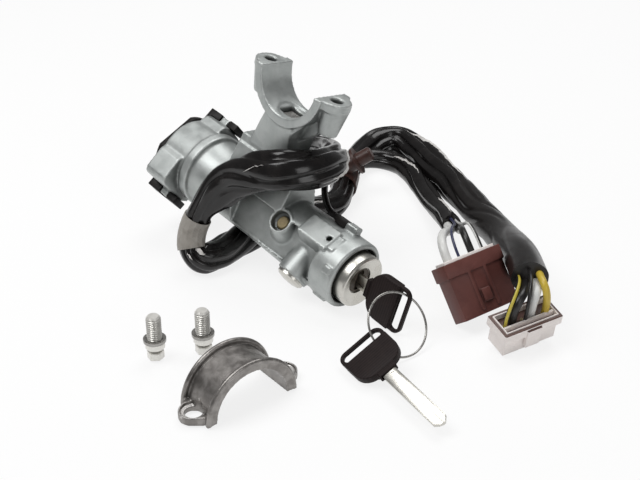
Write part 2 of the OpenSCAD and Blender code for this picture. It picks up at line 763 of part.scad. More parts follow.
// A wire from the end of a sleeve to a hole in a connector
module wire(r, start, aim, side, up, pos, turn, x, y, top, reach) {
    right = unit(cross([0, 0, 1], aim));
    above = cross(aim, right);
    a = start + slack * aim + side * right + up * above;
    n = turned([0, 0, 1], turn);
    b = pos + turned([x, y, top], turn) + slack * n;
    tube(concat([a], arc(a + aim, reach * aim, b + n, reach * n, 14), [b]), r, 10);
}

module wire_a(r, side, up, x) {
    wire(r, branch_end, branch_aim, side, up, con_a_pos, con_a_turn, x, 0, con_a_height + 1.5, 24);
}

module wire_b(r, side, up, x) {
    wire(r, trunk_end, trunk_aim, side, up, con_b_pos, con_b_turn, x, -0.45 * up, con_b_height, 12);
}

module wire_a_white() {
    color("white") wire_a(thick_wire_d / 2, -2.4, -0.5, -11);
}

module wire_a_blue() {
    color("navy") wire_a(0.8, -0.4, 3.6, -3.5);
}

module wire_a_black() {
    color("black") wire_a(2, 2.2, -1.6, 5);
}

module wire_a_striped() {
    color("gray") wire_a(thin_wire_d / 2, 2.8, 2.6, 12);
}

module wire_b_striped() {
    color("yellow") wire_b(thin_wire_d / 2, -6.1, 0.6, -13);
}

module wire_b_black() {
    color("black") wire_b(thick_wire_d / 2, -2.8, -3, -7.6);
}

module wire_b_thin() {
    color("black") wire_b(thin_wire_d / 2, -0.5, 4.2, -1.6);
}

module wire_b_white() {
    color("white") wire_b(thick_wire_d / 2, 2.9, -2.7, 4);
}

module wire_b_yellow() {
    color("yellow") wire_b(2, 4.9, 2.2, 11.8);
}

// Connectors, drawn with the wire side up
module in_connector(pos, turn) {
    translate(pos) rotate(turn) children();
}

module connector_a_shell() {
    x = con_a_length / 2;
    y = con_a_depth / 2;
    color("brown") in_connector(con_a_pos, con_a_turn) difference() {
        union() {
            block(-x + 1, x - 1, -y + 0.8, y - 0.8, 0, con_a_height - 1);
            block(-x, x, -y, y, con_a_height - 8, con_a_height);
            for (s = [-1, 1]) block(s * 5.2 - 1.1, s * 5.2 + 1.1, -y, 0, 2, con_a_height - 7);
            block(-2.8, 2.8, -y - 0.6, 0, 6, 13);
        }
        block(-x + 2.6, x - 2.6, -y + 2.4, y - 2.4, -1, 18);
        block(-x + 2.2, x - 2.2, -y + 2, y - 2, con_a_height - 4, con_a_height + 1);
        for (i = [-11, -3.5, 5, 12]) translate([i, 0, 10]) cylinder(h = 30, r = 1.4);
    }
}

module connector_a_retainer() {
    x = con_a_length / 2 - 2.3;
    y = con_a_depth / 2 - 2.1;
    color("linen") in_connector(con_a_pos, con_a_turn) difference() {
        block(-x, x, -y, y, con_a_height - 4 + slack, con_a_height + 1.5);
        for (i = [-11, -3.5, 5, 12]) translate([i, 0, 10]) cylinder(h = con_a_height - 9.8, r = 1.4);
    }
}

module connector_a_terminals() {
    color("gold") in_connector(con_a_pos, con_a_turn) for (i = [-11, -3.5, 5, 12]) translate([i, 0, 0]) {
        translate([0, 0, 17]) cylinder(h = con_a_height - 17.2, r = 1.3);
        block(-2.2, 2.2, -0.4, 0.4, 5, 17.5);
    }
}

module connector_b_shell() {
    x = con_b_length / 2;
    y = con_b_depth / 2;
    color("sienna") in_connector(con_b_pos, con_b_turn) difference() {
        union() {
            block(-x, x, -y, y, 10.5, con_b_height - 0.6);
            block(-4.5, 4.5, -y - 1, 0, 3, con_b_height - 2);
        }
        block(-x + 1.6, x - 1.6, -y + 1.6, y - 1.6, 0, con_b_height);
        block(-3, 3, -y + 0.6, y, 0, 10.5);
    }
}

module connector_b_insert() {
    x = con_b_length / 2 - 1.6 - slack;
    y = con_b_depth / 2 - 1.6 - slack;
    color("linen") in_connector(con_b_pos, con_b_turn) difference() {
        block(-x, x, -y, y, 0, con_b_height);
        block(-x + 1.8, x - 1.8, -y + 1.8, y - 1.8, -1, 9);
        for (i = [-13, -7.6, -2, 4, 11.4]) translate([i, 0, 4]) cylinder(h = con_b_height - 5.8, r = 1.2);
    }
}

module connector_b_terminals() {
    color("gold") in_connector(con_b_pos, con_b_turn) for (i = [-13, -7.6, -2, 4, 11.4]) translate([i, 0, 0]) {
        translate([0, 0, 8.5]) cylinder(h = con_b_height - 10.8, r = 1.1);
        block(-1.2, 1.2, -0.4, 0.4, 2, 8.6);
    }
}

lock_body();
switch_housing();
switch_cover();
switch_contacts();
switch_rotor();
rotor_contact();
tailpiece();
lock_plug();
wafers();
cylinder_sleeve();
cylinder_bezel();
retainer_pin();
cross_plug();
warning_switch();
lock_bolt();
bolt_spring();
harness_grommet();
key_blade();
key_bow();
key_ring();
spare_key_blade();
spare_key_bow();
clamp_cap();
shear_bolt_left();
shear_bolt_right();
bolt_washer_left();
bolt_washer_right();
harness_trunk();
harness_branch();
harness_tape();
harness_clip();
warning_lead();
wire_a_white();
wire_a_blue();
wire_a_black();
wire_a_striped();
wire_b_striped();
wire_b_black();
wire_b_thin();
wire_b_white();
wire_b_yellow();
connector_a_shell();
connector_a_retainer();
connector_a_terminals();
connector_b_shell();
connector_b_insert();
connector_b_terminals();
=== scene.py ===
"""Looks of an ignition switch with steering lock, keys, clamp cap and wiring harness.

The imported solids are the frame. Lengths are in millimetres until a mesh is written, which is in metres.
"""

from __future__ import annotations

import logging
import math
from dataclasses import dataclass, field, replace
from enum import Enum
from typing import Any, Callable, Mapping, Sequence

import bmesh
import bpy
from mathutils import Euler, Matrix, Vector, noise

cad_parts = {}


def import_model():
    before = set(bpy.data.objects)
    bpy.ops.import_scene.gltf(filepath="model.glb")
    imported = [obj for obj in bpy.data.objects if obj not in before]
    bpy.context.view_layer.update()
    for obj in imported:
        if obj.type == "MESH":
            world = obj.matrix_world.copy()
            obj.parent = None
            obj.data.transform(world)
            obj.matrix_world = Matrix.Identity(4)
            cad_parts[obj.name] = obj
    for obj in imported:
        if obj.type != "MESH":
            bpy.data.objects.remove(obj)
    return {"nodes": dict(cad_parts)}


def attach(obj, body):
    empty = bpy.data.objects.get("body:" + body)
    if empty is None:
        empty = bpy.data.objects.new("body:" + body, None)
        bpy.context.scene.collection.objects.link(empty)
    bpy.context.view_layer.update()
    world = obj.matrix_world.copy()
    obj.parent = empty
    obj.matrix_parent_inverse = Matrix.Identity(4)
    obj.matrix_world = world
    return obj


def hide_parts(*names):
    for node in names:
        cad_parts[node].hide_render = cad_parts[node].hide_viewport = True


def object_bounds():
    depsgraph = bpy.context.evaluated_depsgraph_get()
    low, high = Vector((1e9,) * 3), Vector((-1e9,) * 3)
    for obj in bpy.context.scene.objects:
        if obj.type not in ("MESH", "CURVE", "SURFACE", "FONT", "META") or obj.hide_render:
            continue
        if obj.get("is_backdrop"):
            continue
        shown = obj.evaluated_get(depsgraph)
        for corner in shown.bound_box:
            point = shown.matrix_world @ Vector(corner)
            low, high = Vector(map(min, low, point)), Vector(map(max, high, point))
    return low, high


LOG = logging.getLogger("ignition_switch")
MM = 0.001
MERGE = 2e-6
SHARP_DEG = 32.0

# Gap between the end of a wire and what it meets.
SLACK = 0.05

# Level and half width of soft steps: pointiness of edges that show wear and of hollows that get painted
# shade, height of a normal that faces up enough for a painted highlight.
WORN_EDGE = (0.545, 0.035)
SHADED_HOLLOW = (0.445, 0.04)
FACING_UP = (0.7, 0.2)

# Share of the way over which a taped sleeve calms down, and length of a crumple in it.
CALM_SPAN = 0.05
CRUMPLE_MM = 26.0

# Points across a pale strip of painted highlight, its height above the sleeve, and how much more its free
# edge stands off.
GLINT_POINTS = 5
GLINT_LIFT = 0.1
GLINT_CURL = 0.05

# A wire shorter than this, or than this many times its radius, counts as a piece on its sleeve.
LEAST_CORD = 30.5
LEAST_SLIMNESS = 12.2

BMesh = bmesh.types.BMesh
Material = bpy.types.Material
Mesh = bpy.types.Mesh
Obj = bpy.types.Object
Colour = tuple[float, float, float]
Point = tuple[float, float, float]


class Body(Enum):
    """The bodies that new pieces ride on."""

    LOCK = "lock"
    KEY = "key"
    SPARE = "spare"


class Sock:
    """A shader socket whose arithmetic adds Math nodes."""

    def __init__(self, graph: "Graph", socket: bpy.types.NodeSocket) -> None:
        """Keep the socket and the graph that it belongs to."""
        self.graph = graph
        self.socket = socket

    def _math(self, operation: str, first: Any, second: Any) -> "Sock":
        """Add one Math node."""
        return self.graph.add("ShaderNodeMath", {"operation": operation}, {0: first, 1: second})

    def __add__(self, other: Any) -> "Sock":
        """Sum."""
        return self._math("ADD", self, other)

    __radd__ = __add__

    def __sub__(self, other: Any) -> "Sock":
        """Difference."""
        return self._math("SUBTRACT", self, other)

    def __rsub__(self, other: Any) -> "Sock":
        """Difference from a number."""
        return self._math("SUBTRACT", other, self)

    def __mul__(self, other: Any) -> "Sock":
        """Product."""
        return self._math("MULTIPLY", self, other)

    __rmul__ = __mul__

    def part(self, axis: str) -> "Sock":
        """One part of a vector."""
        return self.graph.add("ShaderNodeSeparateXYZ", None, {0: self}, axis)

    def above(self, level: float, soft: float) -> "Sock":
        """A soft step from 0 to 1, by its middle and half its width."""
        inputs = {"Value": self, "From Min": level - soft, "From Max": level + soft}
        return self.graph.add("ShaderNodeMapRange", {"interpolation_type": "SMOOTHSTEP"}, inputs)


class Graph:
    """The node tree of one material."""

    def __init__(self, name: str) -> None:
        """Start a material with one Principled shader.

        Args:
            name: Name of the material.
        """
        self.material = bpy.data.materials.new(name)
        self.material.use_nodes = True
        self.tree = self.material.node_tree
        self.tree.nodes.clear()
        self.shader = self.tree.nodes.new("ShaderNodeBsdfPrincipled")
        self.surface = self.tree.nodes.new("ShaderNodeOutputMaterial").inputs["Surface"]
        self.tree.links.new(self.shader.outputs[0], self.surface)

    def add(
        self,
        kind: str,
        settings: Mapping[str, Any] | None = None,
        inputs: Mapping[Any, Any] | None = None,
        output: Any = 0,
    ) -> Sock:
        """Add any node.

        Args:
            kind: The node's type.
            settings: Properties, set first.
            inputs: Values or links of its sockets.
            output: Name or index of the output to return.

        Returns:
            The chosen output.
        """
        node = self.tree.nodes.new(kind)
        for key, value in (settings or {}).items():
            setattr(node, key, value)
        for key, value in (inputs or {}).items():
            self.feed(node.inputs[key], value)
        return Sock(self, node.outputs[output])

    def feed(self, socket: bpy.types.NodeSocket, value: Any) -> None:
        """Give a socket a link or a value."""
        if isinstance(value, Sock):
            self.tree.links.new(value.socket, socket)
        elif hasattr(socket.default_value, "__len__") and len(socket.default_value) == 4:
            socket.default_value = (*value, 1.0)
        else:
            socket.default_value = value

    def set(self, **values: Any) -> None:
        """Set the shader's sockets, with _ for a space in their names."""
        for key, value in values.items():
            self.feed(self.shader.inputs[key.replace("_", " ")], value)

    def place(self, attribute: str = "", scale: Point = (1.0, 1.0, 1.0)) -> Sock:
        """Coordinates for a pattern.

        Args:
            attribute: The piece's own attribute, or nothing for Object coordinates.
            scale: Scale along each axis.

        Returns:
            The coordinates.
        """
        if attribute:
            where = self.add("ShaderNodeAttribute", {"attribute_name": attribute}, output="Vector")
        else:
            where = self.add("ShaderNodeTexCoord", output="Object")
        return self.add("ShaderNodeMapping", None, {"Vector": where, "Scale": scale})

    def lay(self, axis: str) -> Sock:
        """One part of the attribute lay, which says where a vertex lies on its piece."""
        return self.add("ShaderNodeAttribute", {"attribute_name": "lay"}, output="Vector").part(axis)

    def noise(self, where: Sock, scale: float, detail: float = 3.0, distortion: float = 0.0) -> Sock:
        """A noise pattern with values about 0.5."""
        inputs = {"Vector": where, "Scale": scale, "Detail": detail, "Distortion": distortion}
        return self.add("ShaderNodeTexNoise", None, inputs)

    def mix(self, share: Any, first: Any, second: Any) -> Sock:
        """Mix two colours by a share."""
        settings = {"data_type": "RGBA", "clamp_factor": True}
        return self.add("ShaderNodeMix", settings, {0: share, 6: first, 7: second}, 2)

    def bump(self, height: Sock, depth_mm: float, under: Sock | None = None) -> Sock:
        """A bump of a depth in millimetres, on top of another one if given."""
        inputs: dict[Any, Any] = {"Strength": 1.0, "Distance": depth_mm * MM, "Height": height}
        if under is not None:
            inputs["Normal"] = under
        return self.add("ShaderNodeBump", None, inputs)


@dataclass(frozen=True)
class Finish:
    """A finish with patches of a second colour, fine grain and edges that show wear, with optional painted
    shade in hollows and painted highlights.
    """

    name: str
    slot: str
    colour: Colour
    patch: Colour
    patch_mm: float = 7.0
    rough: tuple[float, float] = (0.4, 0.55)
    metallic: float = 0.0
    coat: float = 0.0
    grain_mm: float = 0.5
    grain_depth: float = 0.02
    # Colour of edges that show wear, and also of the painted highlight on low faces that face up.
    worn_and_lit: Colour | None = None
    shine: float = 0.5
    # Strength and reach of painted shade: ambient occlusion darkens places that little light reaches.
    occlusion_shade: float = 0.0
    occlusion_shade_mm: float = 5.0
    # Faces that face up below this height get a painted highlight.
    lit_below_mm: float = 0.0
    # Pitch of the grip ribs; their crests get a painted highlight.
    rib_mm: float = 0.0

    def material(self) -> Material:
        """The finish as a material, made once."""
        return bpy.data.materials.get(self.name + "_look") or self.make()

    def tint(self, share: float) -> Colour:
        """The first colour, made darker or brighter."""
        return tuple(c * share for c in self.colour)

    def roughness(self, share: Sock) -> Sock:
        """A roughness between the two ends."""
        low, high = self.rough
        return low + (high - low) * share

    def make(self) -> Material:
        """Build the nodes."""
        graph = Graph(self.name + "_look")
        where = graph.place()
        patches = graph.noise(where, 1000 / self.patch_mm, 4.0, 0.4).above(0.5, 0.22)
        grain = graph.noise(where, 1000 / self.grain_mm, 2.0)
        colour = graph.mix(patches, self.colour, self.patch)
        colour = graph.mix((grain - 0.5) * 0.5 + 0.1, colour, self.tint(0.7))
        rough = self.roughness(0.6 * patches + 0.4 * grain)
        if self.worn_and_lit:
            edges = graph.add("ShaderNodeNewGeometry", output="Pointiness")
            colour = graph.mix(edges.above(*WORN_EDGE) * (0.35 + 0.5 * patches), colour, self.worn_and_lit)
            # Painted shade: hollows, found by low pointiness, are darkened.
            colour = graph.mix((1.0 - edges.above(*SHADED_HOLLOW)) * 0.55, colour, self.tint(0.35))
        # Painted highlight: low faces that face up get the pale colour.
        if self.lit_below_mm:
            low = 1.0 - graph.place().part("Z").above(self.lit_below_mm * MM, 0.4 * MM)
            facing = graph.add("ShaderNodeNewGeometry", output="Normal").part("Z").above(*FACING_UP)
            colour = graph.mix(low * facing, colour, self.worn_and_lit)
        # Painted shade: darker where ambient occlusion finds that little light gets in.
        if self.occlusion_shade:
            reach = {"Distance": self.occlusion_shade_mm * MM}
            painted_shade_share = 1.0 - graph.add("ShaderNodeAmbientOcclusion", {"samples": 8}, reach, "AO")
            colour = graph.mix(painted_shade_share * self.occlusion_shade, colour, self.tint(0.16))
        # Painted highlight: the crests of the grip ribs are lightened.
        if self.rib_mm:
            turn = graph.lay("X") * (2 * math.pi / self.rib_mm)
            ribs = graph.add("ShaderNodeMath", {"operation": "SINE"}, {0: turn})
            colour = graph.mix(ribs.above(0.0, 0.8) * 0.5, colour, self.tint(2.4))
        graph.set(Base_Color=colour, Roughness=rough, Metallic=self.metallic, Coat_Weight=self.coat)
        graph.set(Specular_IOR_Level=self.shine, Normal=graph.bump(grain, self.grain_depth))
        return graph.material


@dataclass(frozen=True)
class SleeveFinish(Finish):
    """Glossy vinyl with folds that run along the sleeve, and dull tape wound on its last part."""

    fold_depth: float = 0.5
    tape_from: float = 0.0

    def make(self) -> Material:
        """Build the nodes."""
        graph = Graph(self.name + "_look")
        where = graph.place("lay", (0.012, 1.6, 1.6))
        folds = graph.noise(where, 1.0, 3.0, 0.6)
        fine = graph.noise(graph.place("lay", (0.16, 3.0, 3.0)), 1.0, 3.0)
        dust = graph.noise(graph.place(), 1000 / self.patch_mm, 4.0).above(0.58, 0.1)
        colour = graph.mix(dust * 0.35, self.colour, self.patch)
        rough = self.roughness(0.5 * fine + 0.5 * dust)
        if self.tape_from:
            taped = graph.lay("X").above(self.tape_from, 6.0)
            rough = rough + taped * 0.13
            folds = folds * (1.0 - 0.8 * taped)
            colour = graph.mix(taped * 0.3, colour, self.patch)
        normal = graph.bump(fine, self.grain_depth, graph.bump(folds, self.fold_depth))
        graph.set(Base_Color=colour, Roughness=rough, Coat_Weight=self.coat, Normal=normal)
        graph.set(Specular_IOR_Level=self.shine)
        return graph.material


@dataclass(frozen=True)
class WireFinish(Finish):
    """Wire insulation with an optional stripe along one side."""

    rough: tuple[float, float] = (0.32, 0.45)
    grain_depth: float = 0.01
    stripe: Colour | None = None
    stripe_half: float = 0.35

    def make(self) -> Material:
        """Build the nodes."""
        graph = Graph(self.name + "_look")
        where = graph.place("lay", (0.1, 1.0, 1.0))
        marks = graph.noise(where, 2.0, 3.0).above(0.55, 0.12)
        colour = graph.mix(marks * 0.4, self.colour, self.patch)
        if self.stripe:
            colour = graph.mix(graph.lay("Y").above(1.0 - self.stripe_half, 0.05), colour, self.stripe)
        graph.set(Base_Color=colour, Roughness=self.roughness(marks))
        graph.set(Normal=graph.bump(graph.noise(where, 6.0, 2.0), self.grain_depth))
        return graph.material


@dataclass(frozen=True)
class TapeFinish(Finish):
    """Woven tape with slanting threads."""

    thread_mm: float = 0.55

    def make(self) -> Material:
        """Build the nodes."""
        graph = Graph(self.name + "_look")
        where = graph.place()
        settings = {"wave_type": "BANDS", "bands_direction": "DIAGONAL"}
        thread = {"Vector": where, "Scale": 160 / self.thread_mm, "Distortion": 2.0}
        weave = graph.add("ShaderNodeTexWave", settings, thread, 1)
        smear = graph.noise(where, 1000 / self.patch_mm, 4.0, 1.0).above(0.5, 0.2)
        colour = graph.mix(smear, self.colour, self.patch)
        graph.set(Base_Color=colour, Roughness=self.roughness(smear))
        graph.set(Normal=graph.bump(weave, self.grain_depth))
        return graph.material


# Darkening by ambient occlusion in these finishes is painted shade; the lightened low faces and rib crests
# are painted highlights.
CAST_ZINC = Finish(
    "cast_zinc", "cast_zinc", (0.41, 0.433, 0.424), (0.53, 0.554, 0.543), 8.0, (0.35, 0.52), 0.62,
    grain_mm=0.45, grain_depth=0.035, worn_and_lit=(0.66, 0.68, 0.66), occlusion_shade=1.3, occlusion_shade_mm=10.0,
)
PEWTER = Finish(
    "pewter_steel", "plated_steel", (0.20, 0.186, 0.176), (0.36, 0.342, 0.326), 5.0, (0.30, 0.46), 0.8,
    grain_mm=0.6, grain_depth=0.05, worn_and_lit=(0.70, 0.68, 0.66), occlusion_shade=0.9, occlusion_shade_mm=3.0, lit_below_mm=3.3,
)
NICKEL = Finish(
    "bright_nickel", "bright_nickel", (0.60, 0.585, 0.54), (0.66, 0.645, 0.60), 4.0, (0.30, 0.38), 1.0,
    grain_mm=2.5, grain_depth=0.002,
)
SATIN = Finish(
    "satin_nickel", "bright_nickel", (0.58, 0.565, 0.52), (0.67, 0.655, 0.61), 5.0, (0.24, 0.36), 0.95,
    grain_mm=0.6, grain_depth=0.01,
)
# The lock plug is brass; its near-black colour is painted shade of the recessed keyway.
SHADED_PLUG = Finish(
    "dark_plug", "brass", (0.050, 0.040, 0.030), (0.085, 0.068, 0.050), 2.0, (0.40, 0.56), 0.6,
    grain_mm=0.5, grain_depth=0.01,
)
BOLT_STEEL = Finish(
    "bolt_steel", "plated_steel", (0.84, 0.825, 0.78), (0.90, 0.885, 0.84), 3.0, (0.26, 0.40), 0.5,
    grain_mm=0.4, grain_depth=0.012, occlusion_shade=0.7, occlusion_shade_mm=1.5,
)
GREY_STEEL = Finish(
    "grey_steel", "plated_steel", (0.34, 0.33, 0.315), (0.44, 0.43, 0.41), 3.0, (0.22, 0.36), 0.8,
    grain_mm=0.5, grain_depth=0.008,
)
BRASS = Finish(
    "brass", "brass", (0.25, 0.195, 0.105), (0.36, 0.29, 0.16), 1.6, (0.42, 0.60), 0.5,
    grain_mm=0.4, grain_depth=0.012,
)
BLACK_PLASTIC = Finish(
    "black_plastic", "black_plastic", (0.011, 0.010, 0.010), (0.018, 0.016, 0.015), 5.0, (0.40, 0.54),
    grain_mm=0.5, grain_depth=0.015, shine=0.2,
)
BOW_PLASTIC = Finish(
    "bow_plastic", "bow_plastic", (0.013, 0.009, 0.009), (0.020, 0.014, 0.013), 4.0, (0.42, 0.56),
    grain_mm=0.45, grain_depth=0.02, shine=0.12, rib_mm=1.5,
)
RED_BROWN = Finish(
    "red_brown_plastic", "red_brown_plastic", (0.130, 0.046, 0.039), (0.160, 0.058, 0.049), 9.0, (0.38, 0.52),
    grain_mm=0.7, grain_depth=0.015, shine=0.25, occlusion_shade=1.7, occlusion_shade_mm=3.5,
)
BROWN = Finish(
    "brown_plastic", "brown_plastic", (0.092, 0.046, 0.036), (0.118, 0.060, 0.048), 6.0, (0.34, 0.48),
    grain_mm=0.6, grain_depth=0.012,
)
CLIP_BROWN = Finish(
    "clip_brown", "brown_plastic", (0.050, 0.024, 0.020), (0.072, 0.034, 0.028), 5.0, (0.30, 0.44),
    grain_mm=0.6, grain_depth=0.012, shine=0.4,
)
PALE = Finish(
    "pale_plastic", "pale_plastic", (0.88, 0.81, 0.78), (0.93, 0.87, 0.84), 5.0, (0.36, 0.52),
    grain_mm=0.6, grain_depth=0.012,
)
VINYL = SleeveFinish(
    "harness_vinyl", "harness_vinyl", (0.006, 0.005, 0.005), (0.016, 0.013, 0.012), 6.0, (0.17, 0.30),
    coat=0.1, grain_depth=0.05, shine=0.42,
)
TAPED_VINYL = replace(VINYL, name="taped_vinyl", tape_from=560.0)
GREY_TAPE = TapeFinish(
    "grey_tape", "grey_tape", (0.255, 0.236, 0.210), (0.35, 0.328, 0.298), 9.0, (0.42, 0.6), grain_depth=0.03,
)
# Pale strips on the sleeves: painted highlight standing in for glints along the sleeves' slit edges.
PAINTED_GLINT = Finish(
    "torn_edge", "grey_tape", (0.55, 0.53, 0.51), (0.78, 0.76, 0.74), 1.5, (0.3, 0.5), grain_depth=0.02,
)
WHITE_PVC = WireFinish(
    "white_pvc", "white_pvc", (0.74, 0.74, 0.72), (0.60, 0.60, 0.58), rough=(0.34, 0.48), grain_depth=0.02,
)
BLUE_PVC = WireFinish("blue_pvc", "blue_pvc", (0.030, 0.034, 0.085), (0.055, 0.06, 0.12))
BLACK_PVC = WireFinish(
    "black_pvc", "black_pvc", (0.012, 0.011, 0.011), (0.030, 0.028, 0.027), rough=(0.28, 0.42),
    grain_depth=0.02,
)
STRIPED_PVC = WireFinish(
    "striped_pvc", "striped_pvc", (0.014, 0.013, 0.013), (0.030, 0.028, 0.027), rough=(0.30, 0.42),
    stripe=(0.72, 0.72, 0.70), stripe_half=0.55,
)
YELLOW_PVC = WireFinish("yellow_pvc", "yellow_pvc", (0.60, 0.44, 0.055), (0.52, 0.36, 0.04))
YELLOW_STRIPED = WireFinish(
    "yellow_striped", "yellow_pvc", (0.56, 0.46, 0.06), (0.48, 0.38, 0.05),
    stripe=(0.015, 0.014, 0.014), stripe_half=0.6,
)


def turn_of(angles: Point) -> Matrix:
    """The turn of a part by angles about x, then y, then z, in degrees."""
    return Euler([math.radians(a) for a in angles], "XYZ").to_matrix()


LOCK_PLACE = Vector((-9.2, 47.6, 32.1))
LOCK_TURN = turn_of((-11, 10, -46.5))


def lock_point(x: float, y: float, z: float) -> Vector:
    """A point of the lock's own axes in the shared frame."""
    return LOCK_PLACE + LOCK_TURN @ Vector((x, y, z))


def smooth_line(points: Sequence[Sequence[float]], steps: int) -> list[Vector]:
    """A smooth line through points.

    Args:
        points: The points that it goes through.
        steps: Steps between two points.

    Returns:
        The points of the line.
    """
    knots = [Vector(p) for p in points]
    last = len(knots) - 1
    line = []
    for i in range(last):
        a, b, c, d = knots[max(i - 1, 0)], knots[i], knots[i + 1], knots[min(i + 2, last)]
        for k in range(steps):
            t = k / steps
            curve = 2 * b + (c - a) * t + (2 * a - 5 * b + 4 * c - d) * t * t
            line.append(0.5 * (curve + (3 * b - a - 3 * c + d) * t**3))
    return [*line, knots[last]]


def end_of(route: Sequence[Point]) -> tuple[Vector, Vector]:
    """Where a route ends and where it points there."""
    coarse = smooth_line(route[-4:], 4)
    return coarse[-1], (coarse[-1] - coarse[-2]).normalized()


def length_of(line: Sequence[Vector]) -> float:
    """The length of a line."""
    return sum((b - a).length for a, b in zip(line, line[1:]))


def put(name: str, data: Any) -> Obj:
    """Make an object of a data block and link it.

    Args:
        name: Name of the object.
        data: Its mesh, curve, lamp or camera.

    Returns:
        The new object.
    """
    obj = bpy.data.objects.new(name, data)
    bpy.context.scene.collection.objects.link(obj)
    return obj


def solved(obj: Obj) -> Mesh:
    """The mesh of an object whose modifiers or curve are worked out."""
    return bpy.data.meshes.new_from_object(obj.evaluated_get(bpy.context.evaluated_depsgraph_get()))


def bevel(bm: BMesh, edges: Sequence[bmesh.types.BMEdge], width: float, segments: int = 2) -> None:
    """Round edges of a bmesh by a width in its own unit."""
    bmesh.ops.bevel(
        bm, geom=edges, offset=width, offset_type="OFFSET", segments=segments, profile=0.5, affect="EDGES",
        clamp_overlap=False, material=-1,
    )


def show(mesh: Mesh, name: str, sharp_deg: float = SHARP_DEG) -> Obj:
    """Put a mesh in the scene, smooth with sharp edges kept.

    Args:
        mesh: The mesh, in metres.
        name: Name of the piece.
        sharp_deg: Edges sharper than this stay sharp.

    Returns:
        The new object.
    """
    mesh.shade_smooth()
    mesh.set_sharp_from_angle(angle=math.radians(sharp_deg))
    return put(name, mesh)


def from_bmesh(bm: BMesh, name: str, sharp_deg: float = SHARP_DEG) -> Obj:
    """Close a bmesh into a piece.

    Args:
        bm: The bmesh, in metres; it is freed.
        name: Name of the piece.
        sharp_deg: Edges sharper than this stay sharp.

    Returns:
        The new object.
    """
    bmesh.ops.remove_doubles(bm, verts=bm.verts, dist=MERGE)
    bmesh.ops.recalc_face_normals(bm, faces=bm.faces)
    mesh = bpy.data.meshes.new(name)
    bm.to_mesh(mesh)
    bm.free()
    return show(mesh, name, sharp_deg)


def dress(obj: Obj, finish: Finish, body: Body, *nodes: str) -> Obj:
    """Give a piece its finish, its body and the nodes that it stands for.

    Args:
        obj: The piece.
        finish: Its finish.
        body: The body that it rides on.
        nodes: CAD nodes that it replaces.

    Returns:
        The piece.
    """
    obj.data.materials.clear()
    obj.data.materials.append(finish.material())
    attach(obj, body.value)
    if nodes:
        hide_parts(*nodes)
    LOG.info("%s: %s on %s", obj.name, finish.name, body.value)
    return obj


class Kit:
    """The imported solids, and softened copies of them."""

    def __init__(self) -> None:
        """Load the frame and keep its box."""
        self.nodes: dict[str, Obj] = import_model()["nodes"]
        self.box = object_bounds()

    def keep(self, finish: Finish, *names: str) -> None:
        """Give CAD nodes that stay a better material.

        Args:
            finish: The finish.
            names: The nodes.
        """
        for name in names:
            node = self.nodes[name]
            node.data.materials.clear()
            node.data.materials.append(finish.material())
            LOG.info("%s: %s", name, finish.name)

    def box_of(self, name: str) -> tuple[Vector, Vector]:
        """Lowest and highest corner of a node, in metres."""
        node = self.nodes[name]
        spots = [node.matrix_world @ v.co for v in node.data.vertices]
        low, high = (Vector([pick(p[i] for p in spots) for i in range(3)]) for pick in (min, max))
        return low, high

    def copy(self, name: str) -> BMesh:
        """A merged copy of a node's mesh."""
        bm = bmesh.new()
        bm.from_mesh(self.nodes[name].data)
        bmesh.ops.remove_doubles(bm, verts=bm.verts, dist=MERGE)
        return bm

    def cast(
        self,
        name: str,
        voxel: float,
        rounds: int,
        most: int,
        extra: Callable[[BMesh], None] | None = None,
    ) -> Obj:
        """A copy of a node with all its edges rounded as in a casting.

        Args:
            name: The node.
            voxel: Size of the voxels.
            rounds: Rounds of smoothing.
            most: The most triangles that it may have.
            extra: Adds what is to be one with the copy.

        Returns:
            The new piece.
        """
        mesh = bpy.data.meshes.new(name + "_cast")
        bm = self.copy(name)
        if extra:
            extra(bm)
        bm.to_mesh(mesh)
        bm.free()
        raw = put(name + "_raw", mesh)
        remesh = raw.modifiers.new("voxels", "REMESH")
        remesh.mode = "VOXEL"
        remesh.voxel_size = voxel * MM
        smooth = raw.modifiers.new("smooth", "SMOOTH")
        smooth.factor = 0.5
        smooth.iterations = rounds
        made = solved(raw)
        triangles = sum(len(p.vertices) - 2 for p in made.polygons)
        if triangles > most:
            raw.modifiers.clear()
            raw.data = made
            raw.modifiers.new("thin", "DECIMATE").ratio = most / triangles
            made = solved(raw)
        bpy.data.objects.remove(raw)
        return show(made, name + "_piece", 60.0)

    def soften(self, name: str, width: float, segments: int = 2, least_deg: float = 35.0) -> Obj:
        """A copy of a node with its edges bevelled.

        Args:
            name: The node.
            width: Width of the bevel.
            segments: Steps of the bevel.
            least_deg: Edges flatter than this stay as they are.

        Returns:
            The new piece.
        """
        bm = self.copy(name)
        bmesh.ops.dissolve_limit(
            bm, angle_limit=math.radians(0.5), verts=bm.verts, edges=bm.edges, use_dissolve_boundaries=False
        )
        least = math.radians(least_deg)
        edges = [e for e in bm.edges if len(e.link_faces) == 2 and e.calc_face_angle(0.0) > least]
        bevel(bm, edges, width * MM, segments)
        return from_bmesh(bm, name + "_piece", 40.0)


